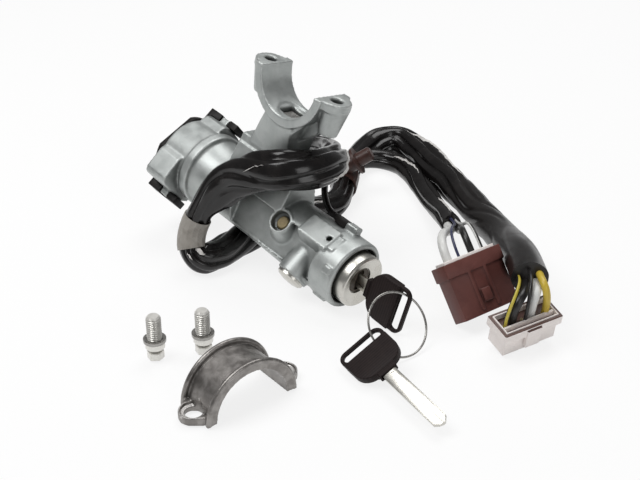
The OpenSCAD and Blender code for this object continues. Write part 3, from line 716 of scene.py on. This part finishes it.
@dataclass
class Studio:
    """Floor, lamps and camera."""

    aim: Point = (21.4, 70.5, 0.0)
    distance: float = 755.0
    elevation_deg: float = 29.5
    lens: float = 69.98
    floor_colour: Colour = (0.95, 0.95, 0.95)
    floor_glow: float = 0.82
    ambient: float = 0.16
    backdrop: float = 1.0

    def camera(self) -> None:
        """Place the camera at the photograph's viewing angle."""
        data = bpy.data.cameras.new("camera")
        data.lens = self.lens
        data.sensor_width = 36.0
        data.clip_start, data.clip_end = 0.01, 20.0
        obj = put("camera", data)
        up = math.radians(self.elevation_deg)
        back = Vector((0.0, -math.cos(up), math.sin(up)))
        obj.location = (Vector(self.aim) + self.distance * back) * MM
        obj.rotation_euler = (-back).to_track_quat("-Z", "Y").to_euler()
        bpy.context.scene.camera = obj

    def floor(self, height: float) -> None:
        """Lay the pale floor.

        Args:
            height: Its height in metres.
        """
        bm = bmesh.new()
        bmesh.ops.create_grid(bm, x_segments=1, y_segments=1, size=6.0)
        bmesh.ops.translate(bm, verts=bm.verts, vec=(0.0, 0.0, height))
        obj = from_bmesh(bm, "floor")
        graph = Graph("floor")
        graph.set(Base_Color=self.floor_colour, Roughness=0.9, Specular_IOR_Level=0.0)
        glow = graph.add("ShaderNodeEmission", None, {"Color": (1.0, 1.0, 1.0), "Strength": 1.0})
        rays = [graph.add("ShaderNodeLightPath", output=f"Is {kind} Ray") for kind in ("Camera", "Glossy")]
        seen = (rays[0] + rays[1]) * self.floor_glow
        plain = Sock(graph, graph.shader.outputs[0])
        graph.feed(graph.surface, graph.add("ShaderNodeMixShader", None, {0: seen, 1: plain, 2: glow}))
        obj.data.materials.append(graph.material)
        obj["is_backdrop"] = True

    def lamp(self, name: str, place: Point, aim: Point, size: float, power: float) -> None:
        """Add one soft lamp.

        Args:
            name: Its name.
            place: Where it is, in metres.
            aim: Where it points, in metres.
            size: Its side, in metres.
            power: Its power in watts.
        """
        data = bpy.data.lights.new(name, "AREA")
        data.shape = "SQUARE"
        data.size = size
        data.energy = power
        obj = put(name, data)
        obj.location = place
        obj.rotation_euler = (Vector(aim) - Vector(place)).to_track_quat("-Z", "Y").to_euler()

    def light(self) -> None:
        """Light the scene softly and make the surroundings pale."""
        world = bpy.data.worlds.new("studio")
        bpy.context.scene.world = world
        world.use_nodes = True
        tree = world.node_tree
        tree.nodes.clear()
        path = tree.nodes.new("ShaderNodeLightPath")
        mix = tree.nodes.new("ShaderNodeMixShader")
        out = tree.nodes.new("ShaderNodeOutputWorld")
        tree.links.new(path.outputs["Is Camera Ray"], mix.inputs[0])
        for place, strength in ((1, self.ambient), (2, self.backdrop)):
            white = tree.nodes.new("ShaderNodeBackground")
            white.inputs["Color"].default_value = (1.0, 1.0, 1.0, 1.0)
            white.inputs["Strength"].default_value = strength
            tree.links.new(white.outputs[0], mix.inputs[place])
        tree.links.new(mix.outputs[0], out.inputs["Surface"])
        self.lamp("key_lamp", (-0.55, -0.15, 1.1), (0.0, 0.05, 0.0), 0.7, 8.5)
        self.lamp("top_lamp", (0.25, 0.55, 1.2), (0.0, 0.05, 0.0), 0.8, 7.0)
        self.lamp("front_lamp", (0.7, -1.0, 0.6), (0.0, 0.0, 0.0), 0.6, 2.8)
        bpy.context.scene.view_settings.view_transform = "Standard"


@dataclass
class Tube:
    """A round or lobed tube that follows a line."""

    name: str
    line: list[Vector]
    radius: float
    sides: int = 20
    lobes: Sequence[tuple[float, float, float]] = ()
    wander: float = 0.0
    crumple: float = 0.0
    seed: float = 0.0
    girth: Sequence[tuple[float, float, float]] = ()
    floor: float | None = None
    toward: Point = (0.0, -0.87, 0.49)
    calm_from: float = 2.0
    middle: list[Vector] = field(default_factory=list)

    def profile(self) -> Obj:
        """The tube's section as a closed curve."""
        data = bpy.data.curves.new(self.name + "_section", "CURVE")
        data.dimensions = "2D"
        spline = data.splines.new("POLY")
        spline.points.add(self.sides - 1)
        spline.use_cyclic_u = True
        for k, point in enumerate(spline.points):
            angle = 2 * math.pi * k / self.sides
            reach = self.radius * MM
            for centre, width, depth in self.lobes:
                off = (angle - math.radians(centre) + math.pi) % (2 * math.pi) - math.pi
                reach -= depth * MM * math.exp(-((off / math.radians(width)) ** 2))
            point.co = (reach * math.cos(angle), reach * math.sin(angle), 0.0, 1.0)
        return put(data.name, data)

    def build(self) -> Obj:
        """Sweep the section along the line.

        Returns:
            The tube, with its length and angle kept in the attribute lay.
        """
        section = self.profile()
        data = bpy.data.curves.new(self.name, "CURVE")
        data.dimensions = "3D"
        data.twist_mode = "MINIMUM"
        data.bevel_mode = "OBJECT"
        data.bevel_object = section
        data.use_fill_caps = True
        spline = data.splines.new("POLY")
        spline.points.add(len(self.line) - 1)
        along = 0.0
        runs = []
        for i, (point, spot) in enumerate(zip(spline.points, self.line)):
            along += (spot - self.line[i - 1]).length if i else 0.0
            runs.append(along)
            point.co = (*(spot * MM), 1.0)
            point.tilt = self.wander * noise.noise(Vector((along / 60.0, self.seed, 0.0)))
        curve = put(self.name + "_line", data)
        mesh = solved(curve)
        bpy.data.objects.remove(curve)
        bpy.data.objects.remove(section)
        self.mark(mesh, runs)
        return show(mesh, self.name, 50.0)

    def axes(self, line: Sequence[Vector], ring: int) -> tuple[Vector, Vector]:
        """The directions across the view and toward the viewer at one point of a line.

        Args:
            line: The line.
            ring: Number of the point.

        Returns:
            Both directions, square to the line.
        """
        along = (line[min(ring + 1, len(line) - 1)] - line[max(ring - 1, 0)]).normalized()
        across = along.cross(Vector(self.toward)).normalized()
        return across, across.cross(along)

    def mark(self, mesh: Mesh, runs: Sequence[float]) -> None:
        """Crumple the tube and keep where each vertex lies on it.

        Args:
            mesh: The tube's mesh.
            runs: The length along the line at each of its points.
        """
        lay = mesh.attributes.new("lay", "FLOAT_VECTOR", "POINT")
        raw = [v.co.copy() for v in mesh.vertices]
        last = len(self.line) - 1
        caps = len(raw) - (last + 1) * self.sides
        for ring, centre in enumerate(self.line):
            first = caps + ring * self.sides
            across, deep = self.axes(self.line, ring)
            wide, thick = self.girth_at(ring / last)
            calm = min(1.0, max(0.0, (ring / last - self.calm_from) / CALM_SPAN))
            spots = []
            for side in range(self.sides):
                angle = 2 * math.pi * side / self.sides
                off = raw[first + side] / MM - centre
                off *= 1.0 + 0.9 * calm * (self.radius - 0.3 - off.length) / off.length
                off += (wide - 1) * off.dot(across) * across + (thick - 1) * off.dot(deep) * deep
                x, y = 0.9 * math.cos(angle), 0.9 * math.sin(angle)
                fold = noise.fractal(Vector((runs[ring] / CRUMPLE_MM, x, y + self.seed)), 0.8, 2.0, 3)
                off += off.normalized() * (1.0 - 0.85 * calm) * self.crumple * fold
                spots.append(centre + off)
                lay.data[first + side].vector = (runs[ring], math.cos(angle), math.sin(angle))
            lift = 0.0 if self.floor is None else max(0.0, self.floor - min(p.z for p in spots))
            self.middle.append(centre + Vector((0.0, 0.0, lift)))
            for side, spot in enumerate(spots):
                mesh.vertices[first + side].co = (spot + Vector((0.0, 0.0, lift))) * MM
        ends = [*range(caps, caps + self.sides), *range(len(raw) - self.sides, len(raw))]
        for i in range(caps):
            near = min(ends, key=lambda k: (raw[k] - raw[i]).length_squared)
            mesh.vertices[i].co = mesh.vertices[near].co
            lay.data[i].vector = lay.data[near].vector

    def glint(self, sleeve: Obj, index: int, start: float, end: float, angle: float, width: float) -> None:
        """Lay a ragged pale strip of painted highlight on the finished tube.

        Args:
            sleeve: The tube.
            index: Number of the strip.
            start: Share of the way along at which it begins.
            end: Share of the way along at which it ends.
            angle: Where it lies round the tube, from the side toward the viewer.
            width: Its width.
        """
        spots = [v.co / MM for v in sleeve.data.vertices]
        last = len(self.line) - 1
        caps = len(spots) - (last + 1) * self.sides
        first, final = round(start * last), round(end * last)
        bm = bmesh.new()
        rows = []
        for ring in range(first, final + 1):
            centre = self.middle[ring]
            across, deep = self.axes(self.middle, ring)
            lean = math.radians(angle + 9 * noise.noise(Vector((ring / 5.0, self.seed, index))))
            aim = math.cos(lean) * deep + math.sin(lean) * across
            around = [spots[caps + ring * self.sides + k] for k in range(self.sides)]
            best = max(range(self.sides), key=lambda k: (around[k] - centre).normalized().dot(aim))
            step = (around[best] - around[best - 1]).length
            fade = min(1.0, 3.2 * min(ring - first, final - ring) / (final - first) + 0.08)
            ragged = 1.0 + 0.7 * noise.noise(Vector((ring / 1.7, 3.0, index + self.seed)))
            half = 0.5 * width * fade * ragged / step
            row = []
            for j in range(GLINT_POINTS):
                place = best + half * (j / 2 - 1)
                k = math.floor(place)
                spot = around[k % self.sides].lerp(around[(k + 1) % self.sides], place - k)
                lift = GLINT_LIFT + GLINT_CURL * j * j * fade
                row.append(bm.verts.new((spot + (spot - centre).normalized() * lift) * MM))
            rows.append(row)
        for a, b in zip(rows, rows[1:]):
            for j in range(GLINT_POINTS - 1):
                bm.faces.new((a[j], a[j + 1], b[j + 1], b[j]))
        dress(from_bmesh(bm, f"{self.name}_tear_{index}", 60.0), PAINTED_GLINT, Body.LOCK)

    def girth_at(self, place: float) -> tuple[float, float]:
        """How much wider and thicker the tube is at a place.

        Args:
            place: Share of the way along it.

        Returns:
            Scale across the view and scale toward the viewer.
        """
        for (a, wide_a, thick_a), (b, wide_b, thick_b) in zip(self.girth, self.girth[1:]):
            if a <= place <= b:
                t = (place - a) / (b - a)
                t = t * t * (3 - 2 * t)
                return wide_a + t * (wide_b - wide_a), thick_a + t * (thick_b - thick_a)
        return 1.0, 1.0


TRUNK_ROUTE: list[Point] = [
    (-16.1, 122, 37.5), (-0.6, 114.5, 41.5), (11.4, 100.5, 46.6), (21, 82.2, 53.8), (27.6, 58.9, 61.4),
    (27.1, 38.9, 67), (18, 24.9, 70.6), (1.8, 20.5, 71.6), (-13.8, 29.1, 66.4), (-30.4, 38.1, 54.5),
    (-44.2, 41.3, 39), (-51.6, 41.1, 24.5), (-52.6, 36, 14), (-46.6, 33.7, 8.6), (-36.6, 41.5, 7.8),
    (-21.6, 61.2, 7.7), (-2.6, 78.5, 7.7), (16.4, 89.5, 7.7), (30.4, 103.5, 7.7), (36.4, 125.5, 7.7),
    (41.9, 156.5, 7.7), (56.4, 186.5, 7.7), (75.4, 193.5, 7.7), (90.4, 172.5, 7.7), (100.4, 144.5, 7.7),
    (117.4, 96.5, 7.9), (127.4, 48.3, 15.4), (131.4, 5.5, 27.4), (131.4, -29.1, 33.6),
]
BRANCH_ROUTE: list[Point] = [
    (45.9, 166.5, 7.5), (56.4, 170.5, 6.4), (66.4, 169.5, 5.6), (76.4, 161.5, 5.4), (83.4, 145.5, 5.4),
    (89.4, 121.5, 5.6), (94.4, 96.5, 8), (99.9, 64.5, 14),
]
LEAD_ROUTE: list[Point] = [
    (45.4, 5.32, 21.35), (39, 6, 21.8), (31, 9.5, 24), (23, 15.5, 28), (13.5, 26, 35.2),
]

# Share of the way along, scale across the view, scale toward the viewer.
TRUNK_GIRTH = (
    (0.0, 1.0, 1.0), (0.1, 1.15, 1.1), (0.21, 1.3, 1.05), (0.27, 1.45, 1.0), (0.35, 1.45, 1.0),
    (0.39, 0.93, 0.93), (0.455, 0.93, 0.93), (0.5, 1.15, 1.0), (0.62, 1.25, 1.1), (0.665, 1.0, 1.0),
    (0.725, 1.0, 1.0), (0.77, 1.25, 1.15), (0.9, 1.28, 1.15), (1.0, 1.3, 1.15),
)
BRANCH_GIRTH = ((0.0, 1.2, 1.0), (0.5, 1.3, 1.1), (1.0, 1.15, 1.1))

# Strips of painted highlight: start and end as shares of the way along, angle from the viewer's side, width.
TRUNK_GLINTS = (
    (0.185, 0.232, -58.0, 1.5), (0.292, 0.318, 14.0, 0.7), (0.452, 0.480, -25.0, 2.2),
    (0.455, 0.470, 20.0, 1.2), (0.60, 0.64, -40.0, 1.2), (0.80, 0.88, -62.0, 1.6),
)
BRANCH_GLINTS = ((0.35, 0.62, -30.0, 0.9), (0.80, 0.97, -45.0, 1.6))

# Angle, width in degrees and depth of the creases round a sleeve.
CREASES = ((20, 11, 1.7), (75, 8, 1.3), (130, 12, 1.8), (205, 9, 1.4), (260, 11, 1.6), (320, 8, 1.3))


@dataclass(frozen=True)
class Plug:
    """Where a connector lies and how its wires enter it."""

    nodes: tuple[str, ...]
    place: Point
    turn: Point
    top: float
    reach: float
    drop: float
    sink: float = 0.0


@dataclass(frozen=True)
class Wire:
    """One wire from the end of a sleeve to a connector."""

    name: str
    finish: WireFinish
    radius: float
    side: float
    up: float
    x: float


PLUG_A = Plug(
    ("connector_a_shell", "connector_a_retainer"), (112.2, -18.8, 5.8), (-38.5, -3.8, 32.1), 33.5, 24.0, 0.0,
)
PLUG_B = Plug(
    ("connector_b_shell", "connector_b_insert"), (127.4, -40, 3.5), (13, -4, 28), 17.0, 12.0, -0.45, 3.4,
)
WIRES_A = (
    Wire("wire_a_white", WHITE_PVC, 2.5, -2.4, -0.5, -11),
    Wire("wire_a_blue", BLUE_PVC, 0.8, -0.4, 3.6, -3.5),
    Wire("wire_a_black", BLACK_PVC, 2.0, 2.2, -1.6, 5),
    Wire("wire_a_striped", STRIPED_PVC, 1.0, 2.8, 2.6, 12),
)
WIRES_B = (
    Wire("wire_b_striped", YELLOW_STRIPED, 1.0, -6.1, 0.6, -13),
    Wire("wire_b_black", BLACK_PVC, 2.5, -2.8, -3, -7.6),
    Wire("wire_b_thin", BLACK_PVC, 1.0, -0.5, 4.2, -1.6),
    Wire("wire_b_white", WHITE_PVC, 2.5, 2.9, -2.7, 4),
    Wire("wire_b_yellow", YELLOW_PVC, 2.0, 4.9, 2.2, 11.8),
)


@dataclass(frozen=True)
class Insert:
    """The pale insert of connector B, hollow above and below, with one long rib between its wires."""

    half_x: float = 16.35
    half_y: float = 6.85
    top: float = 17.0
    wall: float = 1.0
    foot_wall: float = 1.8
    foot_depth: float = 9.0
    draft: float = 0.12
    edge: float = 0.25
    rib_y: float = -2.9
    rib_width: float = 1.1
    rib_drop: float = 0.3
    sharp: float = 0.6

    def build(self) -> Obj:
        """Build the insert in its connector.

        Returns:
            The new piece.
        """
        bm = bmesh.new()
        bmesh.ops.create_cube(bm, size=1.0)
        bmesh.ops.scale(bm, verts=bm.verts, vec=(2 * self.half_x, 2 * self.half_y, self.top))
        bmesh.ops.translate(bm, verts=bm.verts, vec=(0.0, 0.0, self.top / 2))
        hollows = ((1.0, self.top, self.wall, PLUG_B.sink), (-1.0, 0.0, self.foot_wall, self.foot_depth))
        for up, level, wall, deep in hollows:
            flat = [f for f in bm.faces if f.normal.z * up > 0.9]
            faces = [f for f in flat if abs(f.calc_center_median().z - level) < 0.1]
            bmesh.ops.inset_region(bm, faces=faces, thickness=wall)
            bmesh.ops.inset_region(bm, faces=faces, thickness=self.draft, depth=-deep)
        bevel(bm, [e for e in bm.edges if e.calc_face_angle(0.0) > self.sharp], self.edge)
        rib = bmesh.ops.create_cube(bm, size=1.0)["verts"]
        bmesh.ops.scale(bm, verts=rib, vec=(2 * (self.half_x - self.wall), self.rib_width, PLUG_B.sink))
        height = self.top - PLUG_B.sink / 2 - self.rib_drop
        bmesh.ops.translate(bm, verts=rib, vec=(0.0, self.rib_y, height))
        spot = Matrix.LocRotScale(Vector(PLUG_B.place) * MM, turn_of(PLUG_B.turn), Vector((MM, MM, MM)))
        bmesh.ops.transform(bm, matrix=spot, verts=bm.verts)
        return from_bmesh(bm, "connector_b_insert_piece", 40.0)

    def inside(self, spot: Vector, _normal: Vector) -> bool:
        """Whether a place is in the upper hollow and not on the rib."""
        x, y, down = self.half_x - abs(spot.x), self.half_y - abs(spot.y), self.top - spot.z
        return min(x, y) > 0.9 and 0.2 < down < 4.0 and abs(spot.y - self.rib_y) > 0.6


@dataclass
class Harness:
    """The taped and sleeved wiring with its two connectors."""

    kit: Kit
    trunk_r: float = 7.5
    branch_r: float = 5.0
    trunk_d: float = 18.5
    branch_d: float = 12.0
    lead_r: float = 1.9
    fine: int = 12
    floor_gap: float = 0.2
    grommet: Point = (-63.0, 27.05, 0.0)
    nozzle: Point = (-63.0, 30.0, 0.0)

    def cords(self) -> None:
        """Make every cord, first of all."""
        self.connectors()
        floor = self.kit.box[0].z / MM + self.floor_gap
        line = smooth_line([lock_point(*self.nozzle), *TRUNK_ROUTE], self.fine)
        trunk_tube = Tube(
            "trunk_sleeve", [lock_point(*self.grommet), *line], self.trunk_r + 0.45, 60, CREASES,
            wander=2.2, crumple=0.55, seed=3.0, girth=TRUNK_GIRTH, floor=floor, calm_from=0.885,
        )
        trunk = self.sleeve(trunk_tube, TAPED_VINYL, "harness_trunk", TRUNK_GLINTS)
        branch_tube = Tube(
            "branch_sleeve", smooth_line(BRANCH_ROUTE, self.fine), self.branch_r + 0.3, 44, CREASES[::2],
            wander=2.0, crumple=0.4, seed=9.0, girth=BRANCH_GIRTH, floor=floor,
        )
        branch = self.sleeve(branch_tube, VINYL, "harness_branch", BRANCH_GLINTS)
        pieces = [self.piece(n) for n in (*PLUG_B.nodes, "harness_tape", "harness_clip")]
        pieces += self.wires(WIRES_B, PLUG_B, *end_of(TRUNK_ROUTE))
        self.declare(trunk, trunk_tube.middle, self.trunk_d, with_pieces=pieces)
        pieces = [self.piece(n) for n in PLUG_A.nodes] + self.wires(WIRES_A, PLUG_A, *end_of(BRANCH_ROUTE))
        self.declare(branch, branch_tube.middle, self.branch_d, with_pieces=pieces)
        self.lead()

    def sleeve(self, tube: Tube, finish: Finish, node: str, glints: Sequence[Sequence[float]]) -> Obj:
        """Build a sleeve with the pale strips of painted highlight on it.

        Args:
            tube: The sleeve's form.
            finish: Its finish.
            node: The node that it replaces.
            glints: Start, end, angle and width of each strip.

        Returns:
            The sleeve.
        """
        obj = dress(tube.build(), finish, Body.LOCK, node)
        for index, glint in enumerate(glints):
            tube.glint(obj, index, *glint)
        return obj

    def declare(
        self, obj: Obj, line: Sequence[Vector], width: float, far_end: str = "connector", **more: Any
    ) -> None:
        """Work out the first point, length, diameter and points in metres of a loose cord; the results are
        not kept.
        """
        line[0] * MM
        length_of(line) * MM
        width * MM
        [p * MM for p in line]

    def piece(self, node: str) -> Obj:
        """The piece that shows a node: its softened copy, or the node itself."""
        return bpy.data.objects.get(node + "_piece") or self.kit.nodes[node]

    def lead(self) -> None:
        """The thin lead of the key warning switch."""
        line = smooth_line([lock_point(*p) for p in LEAD_ROUTE], 6)
        obj = Tube("lead_sleeve", line, self.lead_r, 20, crumple=0.12, seed=5.0).build()
        dress(obj, VINYL, Body.LOCK, "warning_lead")
        self.declare(obj, line, 2 * self.lead_r, "object")

    def wires(self, wires: Sequence[Wire], plug: Plug, start: Vector, aim: Vector) -> list[Obj]:
        """Make the wires of one connector and sort out the short ones.

        Args:
            wires: The wires.
            plug: The connector that they go to.
            start: End of the sleeve that they leave.
            aim: Direction of that end.

        Returns:
            The short wires, which count as pieces on the sleeve.
        """
        short = []
        for wire in wires:
            line = self.wire_line(wire, plug, start, aim)
            obj = Tube(wire.name + "_pvc", line, wire.radius, 24).build()
            dress(obj, wire.finish, Body.LOCK, wire.name)
            if length_of(line) < max(LEAST_CORD, LEAST_SLIMNESS * wire.radius):
                short.append(obj)
            else:
                self.declare(obj, line, 2 * wire.radius, with_pieces=[self.piece(plug.nodes[0])])
        return short

    def wire_line(self, wire: Wire, plug: Plug, start: Vector, aim: Vector) -> list[Vector]:
        """The line of one wire.

        Args:
            wire: The wire.
            plug: The connector that it goes to.
            start: End of the sleeve that it leaves.
            aim: Direction of that end.

        Returns:
            Its points, from the sleeve to the connector.
        """
        right = Vector((0, 0, 1)).cross(aim).normalized()
        above = aim.cross(right)
        a = start + SLACK * aim + wire.side * right + wire.up * above
        turn = turn_of(plug.turn)
        n = turn @ Vector((0, 0, 1))
        b = Vector(plug.place) + turn @ Vector((wire.x, plug.drop * wire.up, plug.top)) + SLACK * n
        p, q = a + aim, b + n
        line = [a]
        for i in range(25):
            t = i / 24
            line.append(
                (1 - t) ** 3 * p + 3 * t * (1 - t) ** 2 * (p + plug.reach * aim)
                + 3 * t * t * (1 - t) * (q + plug.reach * n) + t**3 * q
            )
        return [*line, b - plug.sink * n]

    def two_tone(self, piece: Obj, second: Finish, chosen: Callable[[Vector, Vector], bool]) -> None:
        """Give some faces of a piece of connector B a second finish.

        Args:
            piece: The piece, which has its first finish.
            second: The finish of those faces.
            chosen: Says from a face's centre and normal, in the connector's own axes, if it is one of them.
        """
        back = turn_of(PLUG_B.turn).inverted()
        piece.data.materials.append(second.material())
        for face in piece.data.polygons:
            spot = back @ (face.center / MM - Vector(PLUG_B.place))
            face.material_index = int(chosen(spot, back @ face.normal))

    def connectors(self) -> None:
        """Soften and dress the connectors."""
        dress(self.kit.soften("connector_a_shell", 0.45), RED_BROWN, Body.LOCK, "connector_a_shell")
        dress(self.kit.soften("connector_a_retainer", 0.3), PALE, Body.LOCK, "connector_a_retainer")
        shell = dress(self.kit.soften("connector_b_shell", 0.3), PALE, Body.LOCK, "connector_b_shell")
        self.two_tone(shell, BROWN, lambda spot, normal: normal.z > 0.35)
        insert = Insert()
        self.two_tone(dress(insert.build(), PALE, Body.LOCK, "connector_b_insert"), BROWN, insert.inside)
        self.kit.keep(BRASS, "connector_a_terminals", "connector_b_terminals")

    def fittings(self) -> None:
        """The tape band, the clip and the grommet."""
        self.kit.keep(GREY_TAPE, "harness_tape")
        self.kit.keep(CLIP_BROWN, "harness_clip")
        self.kit.keep(BLACK_PLASTIC, "harness_grommet")


@dataclass
class Lock:
    """The casting with the cylinder, the switch and the lock bolt."""

    kit: Kit
    voxel: float = 0.62
    rounds: int = 4
    most: int = 190000

    def casting(self) -> None:
        """The zinc casting with rounded edges."""
        body = self.kit.cast("lock_body", self.voxel, self.rounds, self.most)
        dress(body, CAST_ZINC, Body.LOCK, "lock_body")

    def cylinder(self) -> None:
        """Bezel, sleeve, plug, wafers and pins."""
        self.kit.keep(SATIN, "cylinder_bezel", "cross_plug")
        # The plug's dark colour is painted shade.
        self.kit.keep(SHADED_PLUG, "lock_plug")
        self.kit.keep(BOLT_STEEL, "cylinder_sleeve", "tailpiece", "bolt_spring")
        self.kit.keep(GREY_STEEL, "lock_bolt")
        self.kit.keep(BRASS, "retainer_pin", "wafers", "rotor_contact", "switch_contacts")

    def switch(self) -> None:
        """The plastic pieces of the switch and the key warning switch."""
        dress(self.kit.soften("switch_cover", 0.35), BLACK_PLASTIC, Body.LOCK, "switch_cover")
        dress(self.kit.soften("warning_switch", 0.3), BLACK_PLASTIC, Body.LOCK, "warning_switch")
        self.kit.keep(BLACK_PLASTIC, "switch_housing")
        self.kit.keep(PALE, "switch_rotor")


@dataclass
class Keys:
    """The key in the lock, the ring and the spare key."""

    kit: Kit
    bow_edge: float = 0.55
    blade_edge: float = 0.07
    rib_depth: float = 0.12

    def build(self) -> None:
        """Soften the bows and blades."""
        for prefix, body in (("", Body.KEY), ("spare_", Body.SPARE)):
            bow = self.kit.soften(prefix + "key_bow", self.bow_edge, 3)
            self.rib(bow, prefix)
            dress(bow, BOW_PLASTIC, body, prefix + "key_bow")
            blade = self.kit.soften(prefix + "key_blade", self.blade_edge)
            dress(blade, NICKEL, body, prefix + "key_blade")
        self.kit.keep(GREY_STEEL, "key_ring")

    def rib(self, bow: Obj, prefix: str) -> None:
        """Raise grip ribs across the flat faces of a bow, and keep where each vertex lies along its blade.

        Args:
            bow: The bow.
            prefix: What the names of the key's nodes start with.
        """
        boxes = [self.kit.box_of(prefix + part) for part in ("key_blade", "key_bow")]
        blade, grip = (sum(box, Vector()) / 2 for box in boxes)
        axis = (blade - grip).normalized()
        bm = bmesh.new()
        bm.from_mesh(bow.data)
        step = BOW_PLASTIC.rib_mm * MM / 4
        ends = [v.co.dot(axis) / step for v in bm.verts]
        for k in range(math.ceil(min(ends)), math.floor(max(ends)) + 1):
            whole = [*bm.verts, *bm.edges, *bm.faces]
            bmesh.ops.bisect_plane(bm, geom=whole, dist=1e-7, plane_co=axis * (k * step), plane_no=axis)
        flat = max(bm.faces, key=lambda face: face.calc_area()).normal.copy()
        moves = {}
        for face in bm.faces:
            if abs(face.normal.dot(flat)) > 0.99:
                for vertex in face.verts:
                    wave = math.sin(vertex.co.dot(axis) / step * math.pi / 2)
                    moves[vertex] = face.normal * (self.rib_depth * MM * wave)
        for vertex, move in moves.items():
            vertex.co += move
        bm.to_mesh(bow.data)
        bm.free()
        lay = bow.data.attributes.new("lay", "FLOAT_VECTOR", "POINT")
        for vertex in bow.data.vertices:
            lay.data[vertex.index].vector = (vertex.co.dot(axis) / MM, 0.0, 0.0)


@dataclass
class Bolt:
    """A shear bolt with a hexagon to break off and a rolled thread."""

    kit: Kit
    hexagon: float = 4.4
    hexagon_r: float = 4.6
    edge: float = 0.35
    neck: float = 2.6
    collar: float = 5.2
    chamfer: float = 0.4
    head_top: float = 10.3
    thread_r: float = 4.05
    pitch: float = 1.25
    depth: float = 0.77
    tip: float = 1.2
    rows_per_turn: int = 8
    sides: int = 40

    def build(self, node: str) -> Obj:
        """Build the bolt where a node stands.

        Args:
            node: The node that it replaces.

        Returns:
            The new piece.
        """
        low, high = self.kit.box_of(node)
        base = Vector(((low.x + high.x) / 2, (low.y + high.y) / 2, low.z))
        bm = bmesh.new()
        self.head(bm)
        self.shank(bm, (high.z - low.z) / MM)
        bmesh.ops.scale(bm, verts=bm.verts, vec=(MM, MM, MM))
        bmesh.ops.translate(bm, verts=bm.verts, vec=base)
        return from_bmesh(bm, node + "_piece", 34.0)

    def head(self, bm: BMesh) -> None:
        """Add the hexagon, the neck that breaks and the collar."""
        made = bmesh.ops.create_cone(
            bm, cap_ends=True, segments=6, radius1=self.hexagon_r, radius2=self.hexagon_r, depth=self.hexagon
        )["verts"]
        bmesh.ops.rotate(bm, verts=made, matrix=Matrix.Rotation(math.radians(30), 3, "Z"))
        bmesh.ops.translate(bm, verts=made, vec=(0.0, 0.0, self.hexagon / 2))
        bevel(bm, list({e for v in made for e in v.link_edges}), self.edge)
        top = self.head_top
        section = [
            (0.0, 4.2), (self.neck, 4.3), (self.neck, 5.5), (3.7, 5.8), (5.0, 6.5), (self.collar, 6.9),
            (self.collar, top - self.chamfer), (self.collar - self.chamfer, top), (0.0, top),
        ]
        spots = [bm.verts.new((r, 0.0, z)) for r, z in section]
        wires = [bm.edges.new(pair) for pair in zip(spots, spots[1:])]
        bmesh.ops.spin(
            bm, geom=spots + wires, axis=(0, 0, 1), cent=(0, 0, 0), angle=2 * math.pi, steps=self.sides,
            use_merge=True,
        )

    def shank(self, bm: BMesh, height: float) -> None:
        """Add the threaded shank.

        Args:
            bm: Where it goes.
            height: Height of the bolt.
        """
        rows = []
        count = round((height - self.head_top) / self.pitch * self.rows_per_turn)
        for row in range(count + 1):
            z = self.head_top + (height - self.head_top) * row / count
            ring = []
            for k in range(self.sides):
                turn = (z / self.pitch - k / self.sides) % 1.0
                reach = self.thread_r - self.depth * (1.0 - abs(2.0 * turn - 1.0)) ** 0.8
                reach = min(reach, self.thread_r - self.tip + max(height - z, 0.0) * 0.9)
                angle = 2 * math.pi * k / self.sides
                ring.append(bm.verts.new((reach * math.cos(angle), reach * math.sin(angle), z)))
            rows.append(ring)
        for a, b in zip(rows, rows[1:]):
            for k in range(self.sides):
                m = (k + 1) % self.sides
                bm.faces.new((a[k], a[m], b[m], b[k]))
        bm.faces.new(rows[-1])


@dataclass
class Clamp:
    """The clamp cap and the two shear bolts that lie apart."""

    kit: Kit
    voxel: float = 0.42
    rounds: int = 6
    most: int = 120000
    cap_place: Point = (-18.7, -87.0, 0.0)
    cap_yaw: float = 38.2
    bead_ring: float = 25.6
    bead_r: float = 1.5
    bead_y: float = 11.1

    def beads(self, bm: BMesh) -> None:
        """Add the rolled bead along both edges of the cap's arch."""
        old = set(bm.verts)
        for side in (-1.0, 1.0):
            ring = bmesh.ops.create_circle(bm, cap_ends=True, segments=14, radius=self.bead_r)["verts"]
            bmesh.ops.translate(bm, verts=ring, vec=(self.bead_ring, side * self.bead_y, 0.0))
            faces = list({f for v in ring for f in v.link_faces})
            bmesh.ops.spin(bm, geom=faces, axis=(0, -1, 0), cent=(0, 0, 0), angle=math.pi, steps=40)
        new = [v for v in bm.verts if v not in old]
        bmesh.ops.recalc_face_normals(bm, faces=list({f for v in new for f in v.link_faces}))
        turn = Matrix.Rotation(math.radians(self.cap_yaw), 3, "Z")
        spot = Matrix.LocRotScale(Vector(self.cap_place) * MM, turn, Vector((MM, MM, MM)))
        bmesh.ops.transform(bm, matrix=spot, verts=new)

    def build(self) -> None:
        """Round the cap's edges and dress the bolts."""
        cap = self.kit.cast("clamp_cap", self.voxel, self.rounds, self.most, self.beads)
        dress(cap, PEWTER, Body.LOCK, "clamp_cap")
        for name in ("shear_bolt_left", "shear_bolt_right"):
            dress(Bolt(self.kit).build(name), BOLT_STEEL, Body.LOCK, name)
        self.kit.keep(GREY_STEEL, "bolt_washer_left", "bolt_washer_right")


def main() -> None:
    """Build every sub-assembly in order."""
    logging.basicConfig(level=logging.INFO, format="%(name)s: %(message)s")
    kit = Kit()
    studio = Studio()
    studio.camera()
    harness = Harness(kit)
    harness.cords()
    harness.fittings()
    lock = Lock(kit)
    lock.casting()
    lock.cylinder()
    lock.switch()
    Keys(kit).build()
    Clamp(kit).build()
    studio.floor(kit.box[0].z)
    studio.light()


if __name__ == "__main__":
    main()
